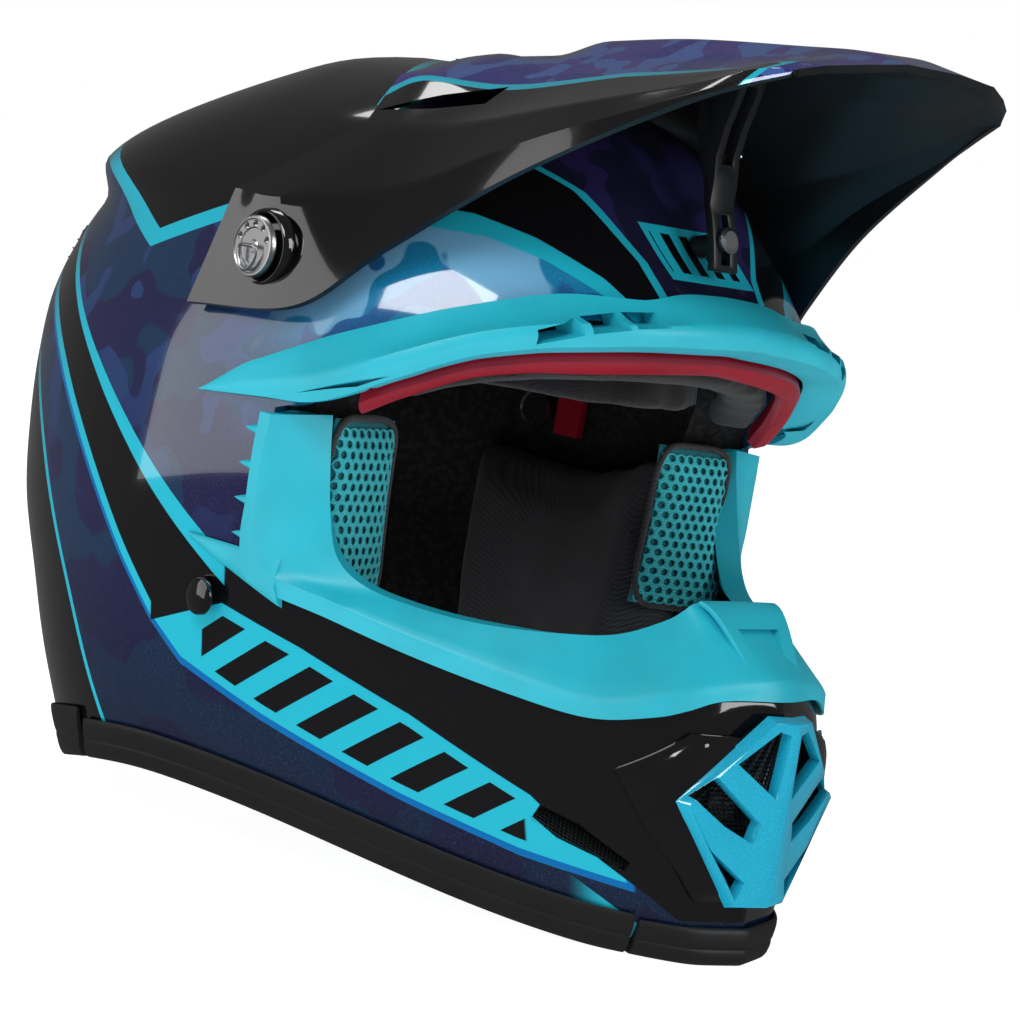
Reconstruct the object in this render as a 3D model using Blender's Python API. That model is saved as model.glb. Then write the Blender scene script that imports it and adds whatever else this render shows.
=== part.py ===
"""Motocross helmet, standing on its lower rim.

Frame: metres in the scene, millimetres in the tables below. The origin is on the
resting plane under the middle of the helmet, the face opening looks along -Y,
+Z is up and +X is the wearer's left. Angles around the shell are in degrees,
0 at the back and 180 at the chin.
"""

import math

import bmesh
import bpy
import numpy as np

MM = 0.001
GAP = 0.35
TRIM_GAP = 1.0

# Shell sections: height, half width, y of the widest point, front, back,
# power of the front curve (2 is an ellipse, less is pointed), power of the back curve.
SECTIONS = np.array([
    (0, 107, 44, -165, 122, 1.40, 2.00),
    (20, 113, 42, -169, 135, 1.42, 2.05),
    (45, 119.5, 40, -171, 149, 1.49, 2.10),
    (70, 123.5, 38, -166, 161, 1.54, 2.15),
    (95, 126.3, 36, -151, 172, 1.66, 2.22),
    (120, 127.2, 34, -134, 177, 1.90, 2.25),
    (145, 126.3, 33, -125, 179, 2.03, 2.28),
    (170, 123, 33, -118.5, 177.5, 2.07, 2.30),
    (195, 114.5, 34, -109, 170, 2.18, 2.25),
    (219, 102, 36, -89, 154, 2.36, 2.20),
    (240, 85, 39, -75, 131, 2.28, 2.15),
    (257, 63, 42, -56.5, 105, 2.42, 2.10),
    (269, 36, 45, -16, 77, 2.24, 2.10),
    (274, 0, 45, 45, 45, 2.10, 2.10),
])
DOME_START = 160
CROWN = 274
HALF_WIDTH = 127
HALF_LENGTH = 140
MIDDLE_Y = 28

SHELL_WALL = 4.0
LINER_OUTSIDE = SHELL_WALL + 1.0
LINER_INSIDE_LOW = 22
LINER_INSIDE_DOME = 36
COMFORT_INSIDE = 45

# The chin's nose is a shallow V under the mouth vent.
NOSE_Y = -157.5
NOSE_SLOPE = 0.27
NOSE_ROUNDING = 2.0

SPOILER_HEIGHT = 222
SPOILER_DEPTH = 13

RIM_ARCH = 20
RIM_FLAT = 1.0
RIM_MIDDLE_Y = 15
RIM_SPAN_FRONT = 170
RIM_SPAN_BACK = 118
TRIM_FLOOR = 4.4

# Edges of the brow trim: degrees from the front, height.
BROW_LOW = np.array([
    (0, 191.5), (17, 189), (33, 184), (43, 178), (51, 169), (62, 156), (70, 153.5), (80, 151),
])
BROW_TOP = np.array([
    (0, 208), (8, 207), (16, 203.5), (32, 201), (48, 191), (62, 177.5), (74, 163), (80, 151.5),
])

PIVOT = (-9.0, 200.0)  # y, z of the visor's side pivots

CYAN = (0.02, 0.62, 0.78)
GLOSS_BLACK = (0.006, 0.006, 0.009)
NAVY = (0.02, 0.05, 0.20)
RUBBER_BLACK = (0.012, 0.012, 0.014)
RED = (0.55, 0.01, 0.03)
CHARCOAL = (0.03, 0.03, 0.035)
FOAM_GREY = (0.10, 0.10, 0.11)
STEEL = (0.62, 0.63, 0.65)


def clear_scene():
    for old in list(bpy.data.objects):
        bpy.data.objects.remove(old, do_unlink=True)


def finish(name, colour, roughness, metallic=0.0):
    """A material with one plain surface."""
    material = bpy.data.materials.new(name)
    material.use_nodes = True
    shader = material.node_tree.nodes["Principled BSDF"]
    shader.inputs["Base Color"].default_value = (*colour, 1)
    shader.inputs["Roughness"].default_value = roughness
    shader.inputs["Metallic"].default_value = metallic
    material.diffuse_color = (*colour, 1)
    return material


# ---------------------------------------------------------------- shell surface

def through(padded, at):
    """Catmull-Rom curve through rows that have one more row at each end."""
    at = np.clip(np.asarray(at, float), 0, len(padded) - 3)
    start = np.minimum(at.astype(int), len(padded) - 4)
    t = (at - start)[..., None]
    p0, p1, p2, p3 = (padded[start + k] for k in range(4))
    square = (2 * p0 - 5 * p1 + 4 * p2 - p3) * t**2
    cube = (3 * p1 - p0 - 3 * p2 + p3) * t**3
    return 0.5 * (2 * p1 + (p2 - p0) * t + square + cube)


def spline(rows, at):
    """Curve through the rows that carries on as its own mirror image past the crown."""
    rows = np.asarray(rows, float)
    mirror = rows[-2].copy()
    mirror[1] = 2 * rows[-1][1] - rows[-2][1]
    return through(np.vstack([2 * rows[0] - rows[1], rows, mirror]), at)


LEVELS = np.linspace(0, len(SECTIONS) - 1, 1301)
HEIGHTS = np.maximum.accumulate(spline(SECTIONS, LEVELS)[:, 0])


def smooth_step(low, high, value):
    t = np.clip((value - low) / (high - low), 0, 1)
    return t * t * (3 - 2 * t)


def spoiler(angle, height):
    """How far the rear spoiler's edge stands out of the dome."""
    turn = abs((angle + 180) % 360 - 180)
    along = smooth_step(92, 40, turn) * (1 - 0.35 * smooth_step(24, 4, turn))
    rise = smooth_step(CROWN - 10, SPOILER_HEIGHT, height)
    drop = 1 - smooth_step(SPOILER_HEIGHT - 2, SPOILER_HEIGHT - 20, height)
    return SPOILER_DEPTH * along * rise * drop


def wall(angle, height, inset=0.0):
    """A point of the shell's outside, or of the same surface shrunk by about inset."""
    level = np.interp(height, HEIGHTS, LEVELS)
    z, width, y_wide, front, back, power_front, power_back = spline(SECTIONS, level)
    side = math.sin(math.radians(angle))
    ahead = math.cos(math.radians(angle))
    power = power_back if ahead >= 0 else power_front
    x = math.copysign(width * abs(side) ** (2 / power), side)
    reach = back - y_wide if ahead >= 0 else front - y_wide
    y = y_wide + reach * abs(ahead) ** (2 / power)
    nose = NOSE_Y + NOSE_SLOPE * abs(x)
    y = 0.5 * (y + nose + math.hypot(y - nose, NOSE_ROUNDING))
    if inset < 1:
        out = spoiler(angle, z)
        x += out * side
        y += out * ahead
    x *= 1 - inset / HALF_WIDTH
    y = MIDDLE_Y + (y - MIDDLE_Y) * (1 - inset / HALF_LENGTH)
    if z > DOME_START:
        z = DOME_START + (z - DOME_START) * (1 - inset / (CROWN - DOME_START))
    return (x, y, z)


def rim_height(angle):
    """The lower rim arches over the shoulders and lies flat at the chin and the nape."""
    y = wall(angle, 10)[1]
    span = RIM_SPAN_BACK if y > RIM_MIDDLE_Y else RIM_SPAN_FRONT
    turn = min(abs(y - RIM_MIDDLE_Y) / span, 1) * math.pi / 2
    return max(RIM_ARCH * math.cos(turn) ** 2 - RIM_FLAT, 0)


def height_along(table, degrees):
    """Height from a table of degrees and height, on a curve through its points."""
    position = np.interp(abs(degrees), table[:, 0], np.arange(len(table)))
    return float(spline(table[:, [1, 1]], position)[0])


def surface_x(y, z, inset=0.0):
    """Half width of the shell at a place seen from the side, ahead of its widest point."""
    low, high = 90.0, 180.0
    for _ in range(40):
        middle = (low + high) / 2
        if wall(middle, z, inset)[1] > y:
            low = middle
        else:
            high = middle
    return wall(low, z, inset)[0]


# ---------------------------------------------------------------- mesh helpers

def make(name, points, faces, material, origin=(0, 0, 0)):
    """An object from points in millimetres, with its origin where it turns."""
    mesh = bpy.data.meshes.new(name)
    shifted = [[(p - o) * MM for p, o in zip(point, origin)] for point in points]
    mesh.from_pydata(shifted, [], faces)
    mesh.validate()
    work = bmesh.new()
    work.from_mesh(mesh)
    bmesh.ops.remove_doubles(work, verts=work.verts, dist=1e-6)
    bmesh.ops.recalc_face_normals(work, faces=work.faces)
    work.to_mesh(mesh)
    work.free()
    mesh.shade_smooth()
    mesh.set_sharp_from_angle(angle=math.radians(32))
    thing = bpy.data.objects.new(name, mesh)
    thing.location = [o * MM for o in origin]
    if material:
        mesh.materials.append(material)
    bpy.context.scene.collection.objects.link(thing)
    return thing


def loft(rings, closed=False):
    """Points and faces of a solid through rings of equal length, capped unless it closes on itself."""
    count = len(rings[0])
    points = [point for ring in rings for point in ring]
    faces = []
    last = len(rings) if closed else len(rings) - 1
    for i in range(last):
        j = (i + 1) % len(rings)
        for k in range(count):
            m = (k + 1) % count
            faces.append((i * count + k, i * count + m, j * count + m, j * count + k))
    if not closed:
        faces.append(tuple(range(count)))
        faces.append(tuple((len(rings) - 1) * count + k for k in reversed(range(count))))
    return points, faces


def dome(outer_rings, inner_rings, outer_top, inner_top):
    """A cap with a wall: rings from the lower edge up on the outside, and the same inside."""
    count = len(outer_rings[0])
    points = [point for ring in outer_rings + inner_rings for point in ring] + [outer_top, inner_top]
    faces = []
    layers = ((0, len(outer_rings)), (len(outer_rings), len(outer_rings) + len(inner_rings)))
    for side, (first, stop) in enumerate(layers):
        pole = len(points) - 2 + side
        for k in range(count):
            m = (k + 1) % count
            for i in range(first, stop - 1):
                quad = (i * count + k, i * count + m, (i + 1) * count + m, (i + 1) * count + k)
                faces.append(quad if side == 0 else quad[::-1])
            top = ((stop - 1) * count + k, (stop - 1) * count + m, pole)
            faces.append(top if side == 0 else top[::-1])
    for k in range(count):
        m = (k + 1) % count
        base = len(outer_rings) * count
        faces.append((base + k, base + m, m, k))
    return points, faces


def patch(span, heights, columns, outer, inner):
    """A plate that follows the shell: span(height) gives its two edge angles."""
    grids = []
    for inset in (outer, inner):
        grid = []
        for height in heights:
            low, high = span(height)
            grid.append([wall(low + (high - low) * c / columns, height, inset) for c in range(columns + 1)])
        grids.append(grid)
    wide = columns + 1
    size = wide * len(heights)
    points = [point for grid in grids for row in grid for point in row]
    faces = []
    for r in range(len(heights) - 1):
        for c in range(columns):
            a = r * wide + c
            faces.append((a, a + 1, a + 1 + wide, a + wide))
            faces.append((size + a + wide, size + a + 1 + wide, size + a + 1, size + a))
    border = [c for c in range(wide)]
    border += [r * wide + columns for r in range(1, len(heights))]
    border += [(len(heights) - 1) * wide + c for c in range(columns - 1, -1, -1)]
    border += [r * wide for r in range(len(heights) - 2, 0, -1)]
    for a, b in zip(border, border[1:] + border[:1]):
        faces.append((a, size + a, size + b, b))
    return points, faces


def side_prism(outline, low=-200, high=200):
    """Points and faces of a solid with an outline of y and z, between two x."""
    rings = [[(x, y, z) for y, z in outline] for x in (low, high)]
    return loft(rings)


def front_prism(outline, back, front):
    rings = [[(x, y, z) for x, z in outline] for y in (back, front)]
    return loft(rings)


def cut(thing, name, points, faces):
    """Takes a shape away from a part."""
    cutter = make(name, points, faces, None)
    cutter.hide_render = True
    cutter.display_type = "WIRE"
    boolean = thing.modifiers.new(name, "BOOLEAN")
    boolean.operation = "DIFFERENCE"
    boolean.object = cutter


def mirrored(points):
    return [(-x, y, z) for x, y, z in points]


def circle(radius, count, x, y, z):
    """A ring of points in the plane across X."""
    turns = [2 * math.pi * k / count for k in range(count)]
    return [(x, y + radius * math.cos(t), z + radius * math.sin(t)) for t in turns]


def turned(profile, count, y, z, side=1):
    """Points and faces of a round part on an axis along X, from pairs of x and radius."""
    return loft([circle(radius, count, side * x, y, z) for x, radius in profile])


# ---------------------------------------------------------------- shell and liners

FACE_OPENING = (
    (-260, 198), (-107, 198), (-92, 195), (-75, 186), (-58, 174), (-45, 162), (-34, 154), (-25.5, 151),
    (-25, 108), (-28, 97), (-50, 92.5), (-76, 86.5), (-102, 81.5), (-124, 78.5), (-138, 82), (-150, 90),
    (-260, 115),
)
LINER_OPENING = (
    (-260, 204), (-88, 204), (-62, 192), (-36, 170), (-24, 150), (-24, 112), (6, 106), (6, -20), (-260, -20),
)


def rings_of(angles, heights, inset, above_rim):
    """Rings around the helmet; the first one follows the lower rim."""
    depth = inset if callable(inset) else (lambda height: inset)
    rings = [[wall(a, rim_height(a) + above_rim, depth(20)) for a in angles]]
    for height in heights:
        rings.append([wall(a, height, depth(height)) for a in angles])
    return rings


def liner_depth(height):
    rise = smooth_step(100, 140, height)
    return LINER_INSIDE_LOW + (LINER_INSIDE_DOME - LINER_INSIDE_LOW) * float(rise)


OUTER_HEIGHTS = (34, 55, 75, 95, 115, 135, 155, 175, 192, 203, 212, 222, 233, 246, 258, 267, 272.5)
INNER_HEIGHTS = (40, 70, 100, 130, 160, 185, 208, 228, 246, 260, 270)
RING_STEP = 9
AROUND = np.arange(0, 360, RING_STEP)


def build_shell(material):
    outer = rings_of(AROUND, OUTER_HEIGHTS, 0.0, 5)
    inner = rings_of(AROUND, INNER_HEIGHTS, SHELL_WALL, 5)
    shell = make("outer_shell", *dome(outer, inner, wall(0, CROWN), wall(0, CROWN, SHELL_WALL)), material)
    cut(shell, "face_opening_cutter", *side_prism(FACE_OPENING))
    cut(shell, "mouth_vent_cutter", *front_prism(vent_outline(0.88), -130, -200))
    for side in (-1, 1):
        cut(shell, f"side_vent_cutter_{side}", *side_vent_box(side, 0.8, -8, 6))


def build_liner(material):
    outer = rings_of(AROUND, INNER_HEIGHTS, LINER_OUTSIDE, 5.5)
    inner = rings_of(AROUND, (50, 80, 105, 122, 140, 168, 188, 210, 232, 252, 266), liner_depth, 5.5)
    top = wall(0, CROWN, LINER_OUTSIDE)
    liner = make("eps_liner", *dome(outer, inner, top, wall(0, CROWN, LINER_INSIDE_DOME)), material)
    cut(liner, "liner_opening_cutter", *side_prism(LINER_OPENING))


def build_crown_pad(material):
    angles = AROUND[::2]
    heights = (168, 188, 210, 232, 252, 266)
    depths = (LINER_INSIDE_DOME + 1.8, COMFORT_INSIDE)
    outer, inner = ([[wall(a, h, depth) for a in angles] for h in heights] for depth in depths)
    tops = [wall(0, CROWN, depth) for depth in depths]
    make("crown_comfort_liner", *dome(outer, inner, *tops), material)


CHIN_PASSAGE = ((-14, 42), (14, 42), (14, 66), (-14, 66))


def build_chin_liner(material):
    """The energy-absorbing block of the chin bar, with its air passage."""
    rings = []
    for angle in np.linspace(118, 242, 19):
        low = rim_height(angle) + 12
        rings.append([wall(angle, h, d) for h, d in ((low, 6), (70, 6), (70, 15), (low, 15))])
    block = make("chin_bar_liner", *loft(rings), material)
    cut(block, "chin_air_cutter", *front_prism(CHIN_PASSAGE, -100, -200))


def build_brow_pad(material):
    """Forehead pad along the upper edge of the face opening."""
    rings = []
    for degrees in np.linspace(-54, 54, 15):
        base = height_along(BROW_LOW, degrees)
        corners = ((base - 9, 15), (base + 6, 15), (base + 7, 34), (base - 7, 34))
        rings.append([wall(180 + degrees, h, d) for h, d in corners])
    make("brow_pad", *loft(rings), material)


def build_brow_guard(material):
    """Slip layer between the brow of the shell and the liner."""
    rings = []
    for degrees in np.linspace(-58, 58, 17):
        base = height_along(BROW_LOW, degrees)
        corners = ((base - 4, 5.2), (base + 4, 5.2), (base + 5, 14), (base - 7, 14))
        rings.append([wall(180 + degrees, h, d) for h, d in corners])
    make("brow_guard", *loft(rings), material)


# ---------------------------------------------------------------- rim trims

def build_rim_trim(name, first, last, material, flange=13.5):
    """Rubber channel over the lower edge of the shell, between two angles."""
    section = (
        (-1.4, 0.0), (-2.4, 3.0), (-2.4, flange), (-0.9, flange + 0.6),
        (-0.9, TRIM_FLOOR), (5.5, TRIM_FLOOR), (5.5, 0.0),
    )
    rings = []
    between = [a for a in range(-180, 360, RING_STEP) if first + 1 < a < last - 1]
    for angle in (first, *between, last):
        base = rim_height(angle)
        rings.append([wall(angle, base + h, d) for d, h in section])
    make(name, *loft(rings), material)


# ---------------------------------------------------------------- face trims

BROW_REACH = 80
BROW_PROUD = 9.0


def build_brow_trim(material):
    """Eyebrow over the face opening, deepest at its corners and fading out along the sides."""
    rings = []
    for degrees in np.linspace(-BROW_REACH, BROW_REACH, 23):
        low = height_along(BROW_LOW, degrees)
        top = height_along(BROW_TOP, degrees)
        turn = abs(degrees)
        corner = 3 * math.exp(-((turn - 50) / 12) ** 2)
        proud = (BROW_PROUD + corner) * float(smooth_step(BROW_REACH + 3, 56, turn)) + 1.2
        lip = 4.4 if turn < 57 else -TRIM_GAP - 0.1
        section = (
            (top, -TRIM_GAP), (top - 0.4, -0.35 * proud - TRIM_GAP), (0.55 * top + 0.45 * low, -0.95 * proud),
            (0.25 * top + 0.75 * low, -proud - 0.4), (low + 0.2, -0.7 * proud - 0.4), (low, lip),
            (low + 0.14 * (top - low), lip), (low + 0.2 * (top - low), -TRIM_GAP),
        )
        rings.append([wall(180 + degrees, h, d) for h, d in section])
    make("brow_trim", *loft(rings), material)


# Face frame stations, for +X: outer edge on the shell (y, z), the shell's own edge under it
# (y, z), then the frame's inner edge (x, y, z).
FRAME_STATIONS = (
    ((-22, 149), (-27, 149), (99.5, -33, 151)),
    ((-22, 136), (-26.5, 136), (99.8, -36, 137)),
    ((-22, 120), (-26.5, 120), (100, -41, 120)),
    ((-21, 107), (-26.5, 108), (99, -47, 107)),
    ((-24, 94), (-30, 98.5), (94, -57, 100)),
    ((-50, 88.5), (-50.5, 94), (85, -73, 97)),
    ((-76, 82.5), (-76.5, 88), (73, -90, 96)),
    ((-102, 77.5), (-102.5, 83), (57, -106, 97)),
    ((-124, 74.5), (-124.5, 80), (41, -117, 99)),
    ((-138, 78), (-139, 86), (27, -124, 105)),
    ((-144, 81.5), (-145, 89.5), (21.5, -126.5, 109)),
    ((-149, 86), (-150.5, 92), (17, -128, 112)),
)


def frame_ring(outer, edge, inner):
    """Cross-section of the face frame: a flange on the shell and a lip through the opening."""
    base, over, inner = (np.array(point, float) for point in (outer, edge, inner))
    clear = np.array((0, -2.0, 2.5))
    sideways = (inner - over) / np.linalg.norm(inner - over)
    ahead = np.array((base[0] / HALF_WIDTH, (base[1] - MIDDLE_Y) / HALF_LENGTH, 0))
    ahead /= np.linalg.norm(ahead)
    outward = ahead - sideways * np.dot(ahead, sideways)
    outward /= np.linalg.norm(outward)
    return [tuple(p) for p in (
        base + TRIM_GAP * ahead,
        base + 3.0 * ahead,
        over + 4.4 * ahead,
        inner + 1.5 * outward,
        inner - 8 * outward,
        inner - 8 * outward - 2.4 * sideways,
        over - 6 * ahead + clear,
        over + TRIM_GAP * ahead,
    )]


def build_face_frame(material):
    half = []
    for outer, edge, inner in FRAME_STATIONS:
        half.append(frame_ring((surface_x(*outer), *outer), (surface_x(*edge), *edge), inner))
    middle = frame_ring(wall(180, 87), wall(180, 93.5), (0, -128, 112))
    other = [mirrored(ring) for ring in reversed(half)]
    make("face_opening_frame", *loft([*half, middle, *other]), material)


MOUTH_SPAN = np.array([(12, 13), (24, 19), (42, 26), (60, 30), (74, 21), (84, 15)])


def mouth_span(height):
    half = float(np.interp(height, MOUTH_SPAN[:, 0], MOUTH_SPAN[:, 1]))
    return 180 - half, 180 + half


def build_mouth_housing(material):
    """Raised panel of the chin around the mouth vent."""
    heights = (22, 32, 42, 52, 60, 67, 74)
    housing = make("mouth_housing", *patch(mouth_span, heights, 14, -2.4, -TRIM_GAP), material)
    cut(housing, "mouth_housing_cutter", *front_prism(vent_outline(0.88), -130, -200))


VENT_CORNERS = ((9, 83), (37, 54), (12, 20))
VENT_MIDDLE = 52
VENT_FACE_Y = -164.6
VENT_WALL = 3.2
VENT_WINDOWS = (
    ((4, 58), (19, 68), (7, 78), (3, 77)),
    ((33, 56), (26, 62), (9, 49), (10.5, 43), (21, 48)),
    ((24, 39), (18, 31.5), (12.5, 24), (10.5, 29.5)),
)


def vent_outline(scale):
    """The mouth vent's six corners seen from the front, scaled about its middle."""
    right = [(x * scale, VENT_MIDDLE + (z - VENT_MIDDLE) * scale) for x, z in VENT_CORNERS]
    return right + [(-x, z) for x, z in reversed(right)]


def vent_plate(scale, front, thickness):
    """Points and faces of a V-shaped plate with the vent's outline."""
    right = vent_outline(scale)[:3]
    spine = [(0, right[0][1]), (0, right[2][1])]
    loop = [spine[0], *right, spine[1], *[(-x, z) for x, z in reversed(right)]]
    count = len(loop)
    points = []
    for y in (front, front + thickness):
        points += [(x, y + NOSE_SLOPE * abs(x), z) for x, z in loop]
    faces = [(0, 1, 2, 3, 4), (0, 4, 5, 6, 7)]
    faces += [tuple(count + k for k in reversed(face)) for face in faces]
    faces += [(k, count + k, count + (k + 1) % count, (k + 1) % count) for k in range(count)]
    return points, faces


def build_mouth_vent(materials):
    """The V-shaped bezel with its six windows, and the wire mesh behind it."""
    bezel = make("mouth_vent_bezel", *vent_plate(1.0, VENT_FACE_Y, VENT_WALL), materials["cyan_gloss"])
    for number, window in enumerate(VENT_WINDOWS):
        for side in (-1, 1):
            outline = [(side * x, z) for x, z in window]
            cut(bezel, f"vent_window_{number}_{side}", *front_prism(outline, -130, -200))
    behind = VENT_FACE_Y + VENT_WALL + 1.0
    make("mouth_vent_mesh", *vent_plate(0.85, behind, 1.0), materials["wire_mesh"])


# Side vent of the chin bar, for +X: its two ends on the shell (y, z) and its half height.
SIDE_VENT_ENDS = ((-112, 43), (-141, 27))
SIDE_VENT_HALF = 5.0


def side_vent_box(side, scale, inner, outer):
    """A slanted block across the shell at the chin's side vent."""
    (y0, z0), (y1, z1) = SIDE_VENT_ENDS
    a = np.array((surface_x(y0, z0), y0, z0))
    b = np.array((surface_x(y1, z1), y1, z1))
    run = (b - a) / np.linalg.norm(b - a)
    up = np.array((0, 0, 1.0))
    out = np.cross(run, up)
    out /= np.linalg.norm(out)
    if out[0] < 0:
        out = -out
    up = np.cross(out, run)
    middle = (a + b) / 2
    reach = np.linalg.norm(b - a) / 2 * scale
    half = SIDE_VENT_HALF * scale
    rings = []
    for depth in (inner, outer):
        ring = []
        for along_run, along_up in ((-1, -0.6), (-1, 0.6), (-0.4, 1), (1, 0.3), (1, -0.5), (-0.2, -1)):
            point = middle + run * reach * along_run + up * half * along_up + out * depth
            ring.append((side * point[0], point[1], point[2]))
        rings.append(ring)
    return loft(rings)


def build_side_vents(material):
    for side, name in ((-1, "right"), (1, "left")):
        make(f"chin_vent_mesh_{name}", *side_vent_box(side, 0.68, -2.6, -1.0), material)


# ---------------------------------------------------------------- visor

# Lines along the visor, rear to front, from the middle to the lower edge, as x, y, z.
VISOR_LINES = (
    ((0, 26, 280), (0, 0, 284), (0, -45, 288), (0, -89, 291),
     (0, -135, 292.5), (0, -162, 292.5), (0, -179, 289)),
    ((20, 24, 278), (20, 0, 281), (22, -45, 285), (24, -89, 289),
     (24, -135, 290.5), (23, -160, 291), (22, -176, 288.5)),
    ((26, 3, 277), (30, -12, 278), (36, -45, 277), (38, -89, 280),
     (38, -135, 284), (37, -158, 286.5), (35, -171, 286)),
    ((62, 4, 263.5), (62, -10, 264), (60, -45, 262), (56, -89, 270),
     (52, -130, 278), (49, -150, 283), (46, -165, 283.5)),
    ((84, -8, 245.5), (83, -18, 246), (79, -45, 249), (72, -89, 261),
     (63, -128, 272), (57, -146, 279), (52.5, -159.5, 281)),
    ((115, 15, 217), (113, -8, 217), (99, -45, 226), (84, -86, 248),
     (69, -126, 266), (61, -144, 274.5), (53.5, -158.5, 280)),
    ((126, 17, 178), (119, -28, 184), (106, -50, 206), (88, -84, 236),
     (70.5, -125, 263), (62, -143, 272.5), (54, -158, 279)),
)
VISOR_STEPS = 16
VISOR_WALL = 2.4
PIVOT_HOLE = 3.6


def along(line, count):
    """Points spread along a curve through the line's points, straight at both ends."""
    rows = np.array(line, float)
    padded = np.vstack([2 * rows[0] - rows[1], rows, 2 * rows[-1] - rows[-2]])
    return through(padded, np.linspace(0, len(rows) - 1, count))


def build_visor(material):
    """A sheet through its lengthwise lines, given its wall on the inside."""
    lines = [along(line, VISOR_STEPS) for line in VISOR_LINES]
    across = lines[::-1] + [line * (-1, 1, 1) for line in lines[1:]]
    points = [tuple(point) for line in across for point in line]
    faces = []
    for i in range(len(across) - 1):
        for k in range(VISOR_STEPS - 1):
            a = i * VISOR_STEPS + k
            faces.append((a, a + 1, a + 1 + VISOR_STEPS, a + VISOR_STEPS))
    pivot = (0, PIVOT[0], PIVOT[1])
    visor = make("visor", points, faces, material, pivot)
    up = sum(face.normal.z for face in visor.data.polygons)
    if up < 0:
        visor.data.flip_normals()
    solid = visor.modifiers.new("wall", "SOLIDIFY")
    solid.thickness = VISOR_WALL * MM
    solid.offset = -1
    solid.use_even_offset = True
    for side in (-1, 1):
        hole = turned(((side * 90, PIVOT_HOLE), (side * 140, PIVOT_HOLE)), 20, *PIVOT)
        cut(visor, f"pivot_hole_{side}", *hole)
    return visor


SCREW_HEAD = 10.0
SCREW_PIN = 2.9
BOSS_RADIUS = 5.5
ARM_X = 121.0
HANDLE_GAP = 0.6
HANDLE_THICK = 1.4


def build_side_screws(materials):
    """Boss on the shell, thumb screw through the visor's arm, and the handle that folds flat on it."""
    shell_x = surface_x(PIVOT[0] + BOSS_RADIUS, PIVOT[1] - BOSS_RADIUS)
    bore_radius = SCREW_PIN + 0.4
    boss = ((shell_x + GAP, BOSS_RADIUS), (shell_x + 1.2, BOSS_RADIUS))
    bore = ((shell_x - 1, bore_radius), (ARM_X + 5, bore_radius))
    screw = (
        (shell_x + 0.8, SCREW_PIN), (ARM_X + 0.8, SCREW_PIN), (ARM_X + 0.8, SCREW_HEAD),
        (ARM_X + 2.4, SCREW_HEAD), (ARM_X + 3.0, SCREW_HEAD - 0.8),
    )
    handle_x = ARM_X + 3.0 + HANDLE_GAP
    for side, name in ((-1, "right"), (1, "left")):
        post = make(f"pivot_boss_{name}", *turned(boss, 24, *PIVOT, side), materials["black_plastic"])
        cut(post, f"boss_bore_{name}", *turned(bore, 24, *PIVOT, side))
        make(f"visor_screw_{name}", *turned(screw, 32, *PIVOT, side), materials["steel"], (0, *PIVOT))
        hinge = (side * (handle_x + HANDLE_THICK / 2), *PIVOT)
        make(f"screw_handle_{name}", *handle_plate(side * handle_x, side), materials["steel"], hinge)


def handle_plate(x, side):
    """A folding loop: a bar on its hinge across the screw, with a drop-shaped ring below it."""
    bar = HANDLE_THICK / 2
    outline = [(-5.5, bar), (-5.5, -1.6), (-3.2, -7.2), (0, -8.6), (3.2, -7.2), (5.5, -1.6), (5.5, bar)]
    hole = [(-3.0, -1.8), (-1.8, -5.4), (0, -6.2), (1.8, -5.4), (3.0, -1.8)]
    points = []
    for depth in (0, side * HANDLE_THICK):
        points += [(x + depth, PIVOT[0] + y, PIVOT[1] + z) for y, z in outline + hole]
    n = len(outline)
    m = len(hole)
    size = n + m
    faces = [(0, 1, n), (n - 2, n - 1, n + m - 1), (n - 1, 0, n, n + m - 1)]
    faces += [(k + 1, k + 2, n + k + 1, n + k) for k in range(m - 1)]
    faces += [tuple(size + k for k in reversed(face)) for face in faces]
    faces += [(k, (k + 1) % n, size + (k + 1) % n, size + k) for k in range(n)]
    faces += [(n + k, size + n + k, size + n + (k + 1) % m, n + (k + 1) % m) for k in range(m)]
    return points, faces


# The visor's centre fixing: a tongue on an arc about the side pivots slides under a screw,
# which stands on a boss on the forehead. Degrees are above the forward direction.
CENTRE_TURN = 17.0
TONGUE_INSIDE = 90.0
TONGUE_OUTSIDE = 93.0
TONGUE_ENDS = (10.8, 24.5)
TONGUE_HALF = 6.0
SLOT_ENDS = (12.3, 22.7)
SLOT_HALF = 2.1
CENTRE_PIN = 1.8
CENTRE_HEAD = 4.5
CENTRE_BOSS = 4.0
POST_FIN = ((-81, 268), (-84, 287.2), (-98, 287.6), (-97, 268), (-94, 262), (-94, 254), (-96, 246))


def about_pivot(radius, degrees, sideways=0.0):
    """The y and z of a place on an arc about the side pivots, or that far along its tangent."""
    turn = math.radians(degrees)
    y = PIVOT[0] - radius * math.cos(turn) + sideways * math.sin(turn)
    z = PIVOT[1] + radius * math.sin(turn) + sideways * math.cos(turn)
    return y, z


def build_centre_post(material):
    """Fin under the visor's middle that ends in the slotted tongue."""
    turns = np.linspace(*TONGUE_ENDS, 6)
    inside = [about_pivot(TONGUE_INSIDE, turn) for turn in turns]
    outside = [about_pivot(TONGUE_OUTSIDE, turn) for turn in turns[::-1]]
    outline = [*inside, *POST_FIN, *outside]
    post = make("visor_centre_post", *side_prism(outline, -TONGUE_HALF, TONGUE_HALF), material, (0, *PIVOT))
    rings = []
    for turn in np.linspace(*SLOT_ENDS, 5):
        low = about_pivot(TONGUE_INSIDE - 2, turn)
        high = about_pivot(TONGUE_OUTSIDE + 2, turn)
        rings.append([(-SLOT_HALF, *low), (SLOT_HALF, *low), (SLOT_HALF, *high), (-SLOT_HALF, *high)])
    cut(post, "tongue_slot", *loft(rings))


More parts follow.
